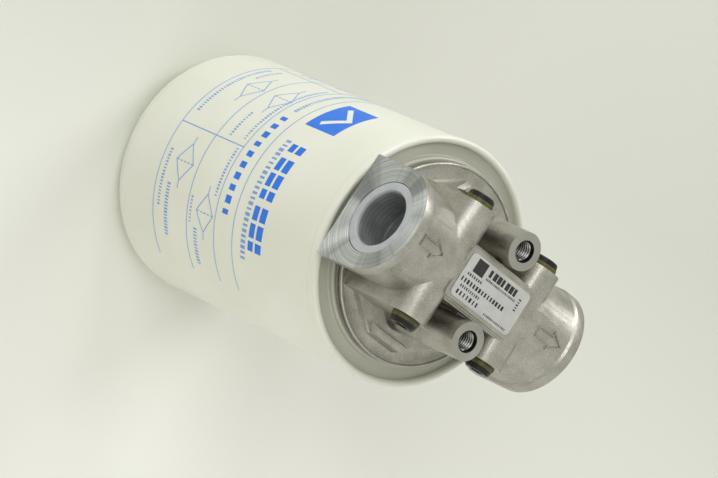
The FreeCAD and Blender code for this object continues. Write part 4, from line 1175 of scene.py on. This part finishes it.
class FILTER_OT_plugs(bpy.types.Operator):
    """Gauge plugs with grooved heads and hexagon sockets, and the rings under them"""
    bl_idname = "filter.plugs"
    bl_label = "Plugs"

    PLUGS = (1, 2, 3, 4)
    SEAL_INNER = 4.3 * MM
    SEAL_ROUND = 0.4 * MM
    THREAD_RADIUS = 4.24 * MM
    TAPER = 0.5 * MM
    EDGE = 0.25 * MM
    # The fins take up a share of the head; each has (share of a fin, whether sunk) points
    FINS, FINNED = 3, 0.92
    FIN = ((0.06, 0), (0.6, 0), (0.72, 1), (0.93, 1))
    SOCKET_CHAMFER = (0.5 * MM, 0.1 * MM)
    DRILL_POINT = 0.6 * MM
    FACETS = 96

    def execute(self, context):
        s = context.scene.filter_fittings
        black = moulded_rubber("black_moulded_plastic", s.plug, "#111111", (0.3, 0.42))
        olive = moulded_rubber("olive_sealing_ring", s.seal, "#403E12", (0.4, 0.55))
        for number in self.PLUGS:
            plug, ring = f"gauge_plug_{number}", f"gauge_seal_{number}"
            plug_low, plug_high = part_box(plug)
            ring_low, ring_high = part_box(ring)
            on_left = ring_low.y > 0
            face = ring_low.y if on_left else ring_high.y
            end, tail = (plug_high.y, plug_low.y) if on_left else (plug_low.y, plug_high.y)
            facing = ALONG_Y if on_left else AGAINST_Y
            centre = (plug_low + plug_high) / 2
            place = Vector((centre.x, face, centre.z))
            seat = ring_high.y - ring_low.y
            radius = (plug_high.x - plug_low.x) / 2
            section = self.plug_section(s, radius, seat, abs(end - face), abs(tail - face))
            corners = len(section)
            hexagon = (corners - 3, corners - 2)
            mesh = turned_mesh(f"{plug}_turned", section, place, facing, self.FACETS, hexagon)
            publish(mesh.name, mesh, black, "head", "plug_black", plug)
            inner, outer = self.SEAL_INNER, (ring_high.x - ring_low.x) / 2
            section = rounded_section([
                (inner, 0), (outer, 0, self.SEAL_ROUND), (outer, seat, self.SEAL_ROUND),
                (inner, seat),
            ])
            mesh = turned_mesh(f"{ring}_ring", section, place, facing, self.FACETS)
            publish(mesh.name, mesh, olive, "head", "seal_yellow", ring)
        return {"FINISHED"}

    def plug_section(self, s, radius, seat, top, tail):
        """Section of a plug with fins around its head; the socket's two rings come before last."""
        rise, thread = top - seat, self.THREAD_RADIUS
        section = [(0, -tail), (thread, -tail), (thread, seat), (radius, seat)]
        for fin in range(self.FINS):
            for share, sunk in self.FIN:
                level = (fin + share) / self.FINS * self.FINNED
                reach = radius - self.TAPER * level - sunk * s.ridge_depth
                section.append((reach, seat + rise * level))
        depth = top - s.socket_depth
        chamfer, chamfer_depth = self.SOCKET_CHAMFER
        mouth = s.socket / math.cos(math.pi / 6) + chamfer
        return section + [
            (radius - self.TAPER - self.EDGE, top), (mouth, top), (s.socket, top - chamfer_depth),
            (s.socket, depth), (0, depth - self.DRILL_POINT),
        ]


class FILTER_OT_cap(bpy.types.Operator):
    """Milky transport cap pushed into the inlet port"""
    bl_idname = "filter.cap"
    bl_label = "Cap"

    # How much wider the flange is than the CAD's, and how deep it goes into the port
    FLANGE_SPARE = 0.2 * MM
    FLANGE_DEPTH = 1.6 * MM
    PLAY = 0.1 * MM
    WALL = 0.86 * MM
    LIP = (0.35 * MM, 1.2 * MM)
    # Roundings of the closed end, outside and inside, and of the flange, from back to lip
    END_ROUND, FLOOR_ROUND = 0.8 * MM, 0.6 * MM
    BACK_ROUND, FRONT_ROUND, LIP_ROUND = 0.3 * MM, 0.45 * MM, 0.5 * MM
    # How far past its radius a face still counts as the bore's
    BORE_SLACK = 0.2 * MM
    # Shallow bands inside the bore: number, first depth and pitch, then their own (inset, depth)
    BANDS, FIRST_BAND, BAND_PITCH = 6, 2.2 * MM, 1.9 * MM
    BAND = ((0, 0), (0.1 * MM, 0.4 * MM), (0.1 * MM, 0.8 * MM), (0, 1.2 * MM))

    def execute(self, context):
        s = context.scene.filter_fittings
        white = milky_polythene("milky_polythene", s.cap, "#BCC1C5", 0.2)
        # The bore's faces are more see-through and a darker grey, the grey being painted shade
        # inside the bore
        thin = milky_polythene("thin_polythene", "#9A9E9D", "#8E9291", 0.35)
        cap_low, cap_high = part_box("inlet_cap")
        flange = (cap_high.y - cap_low.y) / 2 + self.FLANGE_SPARE
        front, end = -cap_low.x - PORT_FACE, -(PORT_FACE + cap_high.x)
        outer = PORT_CREST - self.PLAY
        inner = outer - self.WALL
        lip, lip_depth = self.LIP
        section = [
            (0, end), (outer, end, self.END_ROUND), (outer, -self.FLANGE_DEPTH),
            (flange, -self.FLANGE_DEPTH, self.BACK_ROUND), (flange, front, self.FRONT_ROUND),
            (inner + lip, front, self.LIP_ROUND), (inner, front - lip_depth),
        ]
        for band in range(self.BANDS):
            level = front - self.FIRST_BAND - self.BAND_PITCH * band
            section += [(inner - inset, level - depth) for inset, depth in self.BAND]
        section += [(inner, end + self.WALL, self.FLOOR_ROUND), (0, end + self.WALL)]
        place = Vector((-PORT_FACE, 0, PORT_AXIS))
        mesh = turned_mesh("transport_cap", rounded_section(section), place, AGAINST_X)
        publish("transport_cap", mesh, white, "inlet_cap", "cap_plastic", "inlet_cap")
        mesh.materials.append(thin)
        # Faces inside the bore take the darker grey of painted shade
        for face in mesh.polygons:
            spot = face.center - place
            in_bore = math.hypot(spot.y, spot.z) < inner + self.BORE_SLACK
            if spot.x > -front + lip_depth and in_bore:
                face.material_index = 1
        return {"FINISHED"}


class FILTER_OT_inside(bpy.types.Operator):
    """Threaded nipple, bypass valve, filter element and springs"""
    bl_idname = "filter.inside"
    bl_label = "Inside"

    NIPPLE_BORE = 9.6 * MM
    THREAD_DEPTH = 0.9 * MM
    THREAD_PITCH = 1.814 * MM
    CHAMFER = 0.9 * MM
    THREAD_ROOM = 1.3 * MM
    # Share of its depth that the ridge has, to stay inside the CAD's outer radius
    RIDGE = 0.97
    FACETS = 96
    # Degrees up to which faces are shaded as one
    SMOOTH = 40

    def execute(self, context):
        steel = plain_metal("plain_turned_steel", "#9C9D9B", "#8A8B8A")
        spring = plain_metal("drawn_spring_wire", "#77797B", "#66686A", 0.5)
        tin = plain_metal("tinned_sheet", "#BFC1C2", "#AEB0B2", 2.0, (0.2, 0.32))
        paper = resin_paper("resin_treated_paper", "#CDBE97", "#B9A87E")
        rubber = bpy.data.materials["black_nitrile_rubber"]
        for material, nodes in (
            (rubber, ("element_grommet",)), (paper, ("filter_media",)),
            (steel, ("base_plate", "bypass_poppet", "bypass_guide")),
            (spring, ("bottom_spring", "bypass_spring", "guide_snap_ring")),
            (tin, ("top_end_cap", "bottom_end_cap", "core_tube")),
        ):
            for node in nodes:
                finish_node(node, material)

        nipple_low, nipple_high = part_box("spin_on_nipple")
        bore, chamfer = self.NIPPLE_BORE, self.CHAMFER
        root = nipple_high.x - self.THREAD_DEPTH
        rise = nipple_high.z - nipple_low.z
        section = [
            (bore, 0), (root - chamfer, 0), (root, chamfer), (root, rise - chamfer),
            (root - chamfer, rise), (bore, rise),
        ]
        foot = Vector((0, 0, nipple_low.z))
        body = turned_mesh("threaded_nipple", section, foot, UP, self.FACETS)
        start = Matrix.Translation((0, 0, nipple_low.z + self.THREAD_ROOM))
        thread = wound_thread(
            "nipple_thread", thread_tree(), root, self.THREAD_DEPTH * self.RIDGE,
            self.THREAD_PITCH, rise - self.THREAD_ROOM * 2, start)
        mesh = joined("threaded_nipple", [body, thread])
        soften(mesh, self.SMOOTH)
        publish("threaded_nipple", mesh, steel, "head", "plain_steel", "spin_on_nipple")
        return {"FINISHED"}


class FILTER_PT_panel(bpy.types.Panel):
    """Lists the settings and operators"""
    bl_idname = "FILTER_PT_panel"
    bl_label = "Suction filter"
    bl_space_type = "VIEW_3D"
    bl_region_type = "UI"
    bl_category = "Filter"

    def draw(self, context):
        for group_name in SETTINGS:
            group = getattr(context.scene, group_name)
            for name in group.bl_rna.properties.keys():
                if name not in ("rna_type", "name"):
                    self.layout.prop(group, name)
        for operator in OPERATORS:
            self.layout.operator(operator.bl_idname)


SETTINGS = {
    "filter_stage": StageSettings, "filter_canister": CanisterSettings,
    "filter_print": PrintSettings, "filter_head": HeadSettings,
    "filter_fittings": FittingSettings,
}
OPERATORS = [
    FILTER_OT_stage, FILTER_OT_canister, FILTER_OT_print, FILTER_OT_head, FILTER_OT_label,
    FILTER_OT_plugs, FILTER_OT_cap, FILTER_OT_inside,
]


def register():
    for name, group in SETTINGS.items():
        bpy.utils.register_class(group)
        setattr(bpy.types.Scene, name, PointerProperty(type=group))
    for entry in [*OPERATORS, FILTER_PT_panel]:
        bpy.utils.register_class(entry)


def unregister():
    for entry in [FILTER_PT_panel, *reversed(OPERATORS)]:
        bpy.utils.unregister_class(entry)
    for name, group in SETTINGS.items():
        delattr(bpy.types.Scene, name)
        bpy.utils.unregister_class(group)


def main():
    register()
    for operator in OPERATORS:
        group, action = operator.bl_idname.split(".")
        getattr(getattr(bpy.ops, group), action)()
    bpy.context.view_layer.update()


if __name__ == "__main__":
    main()
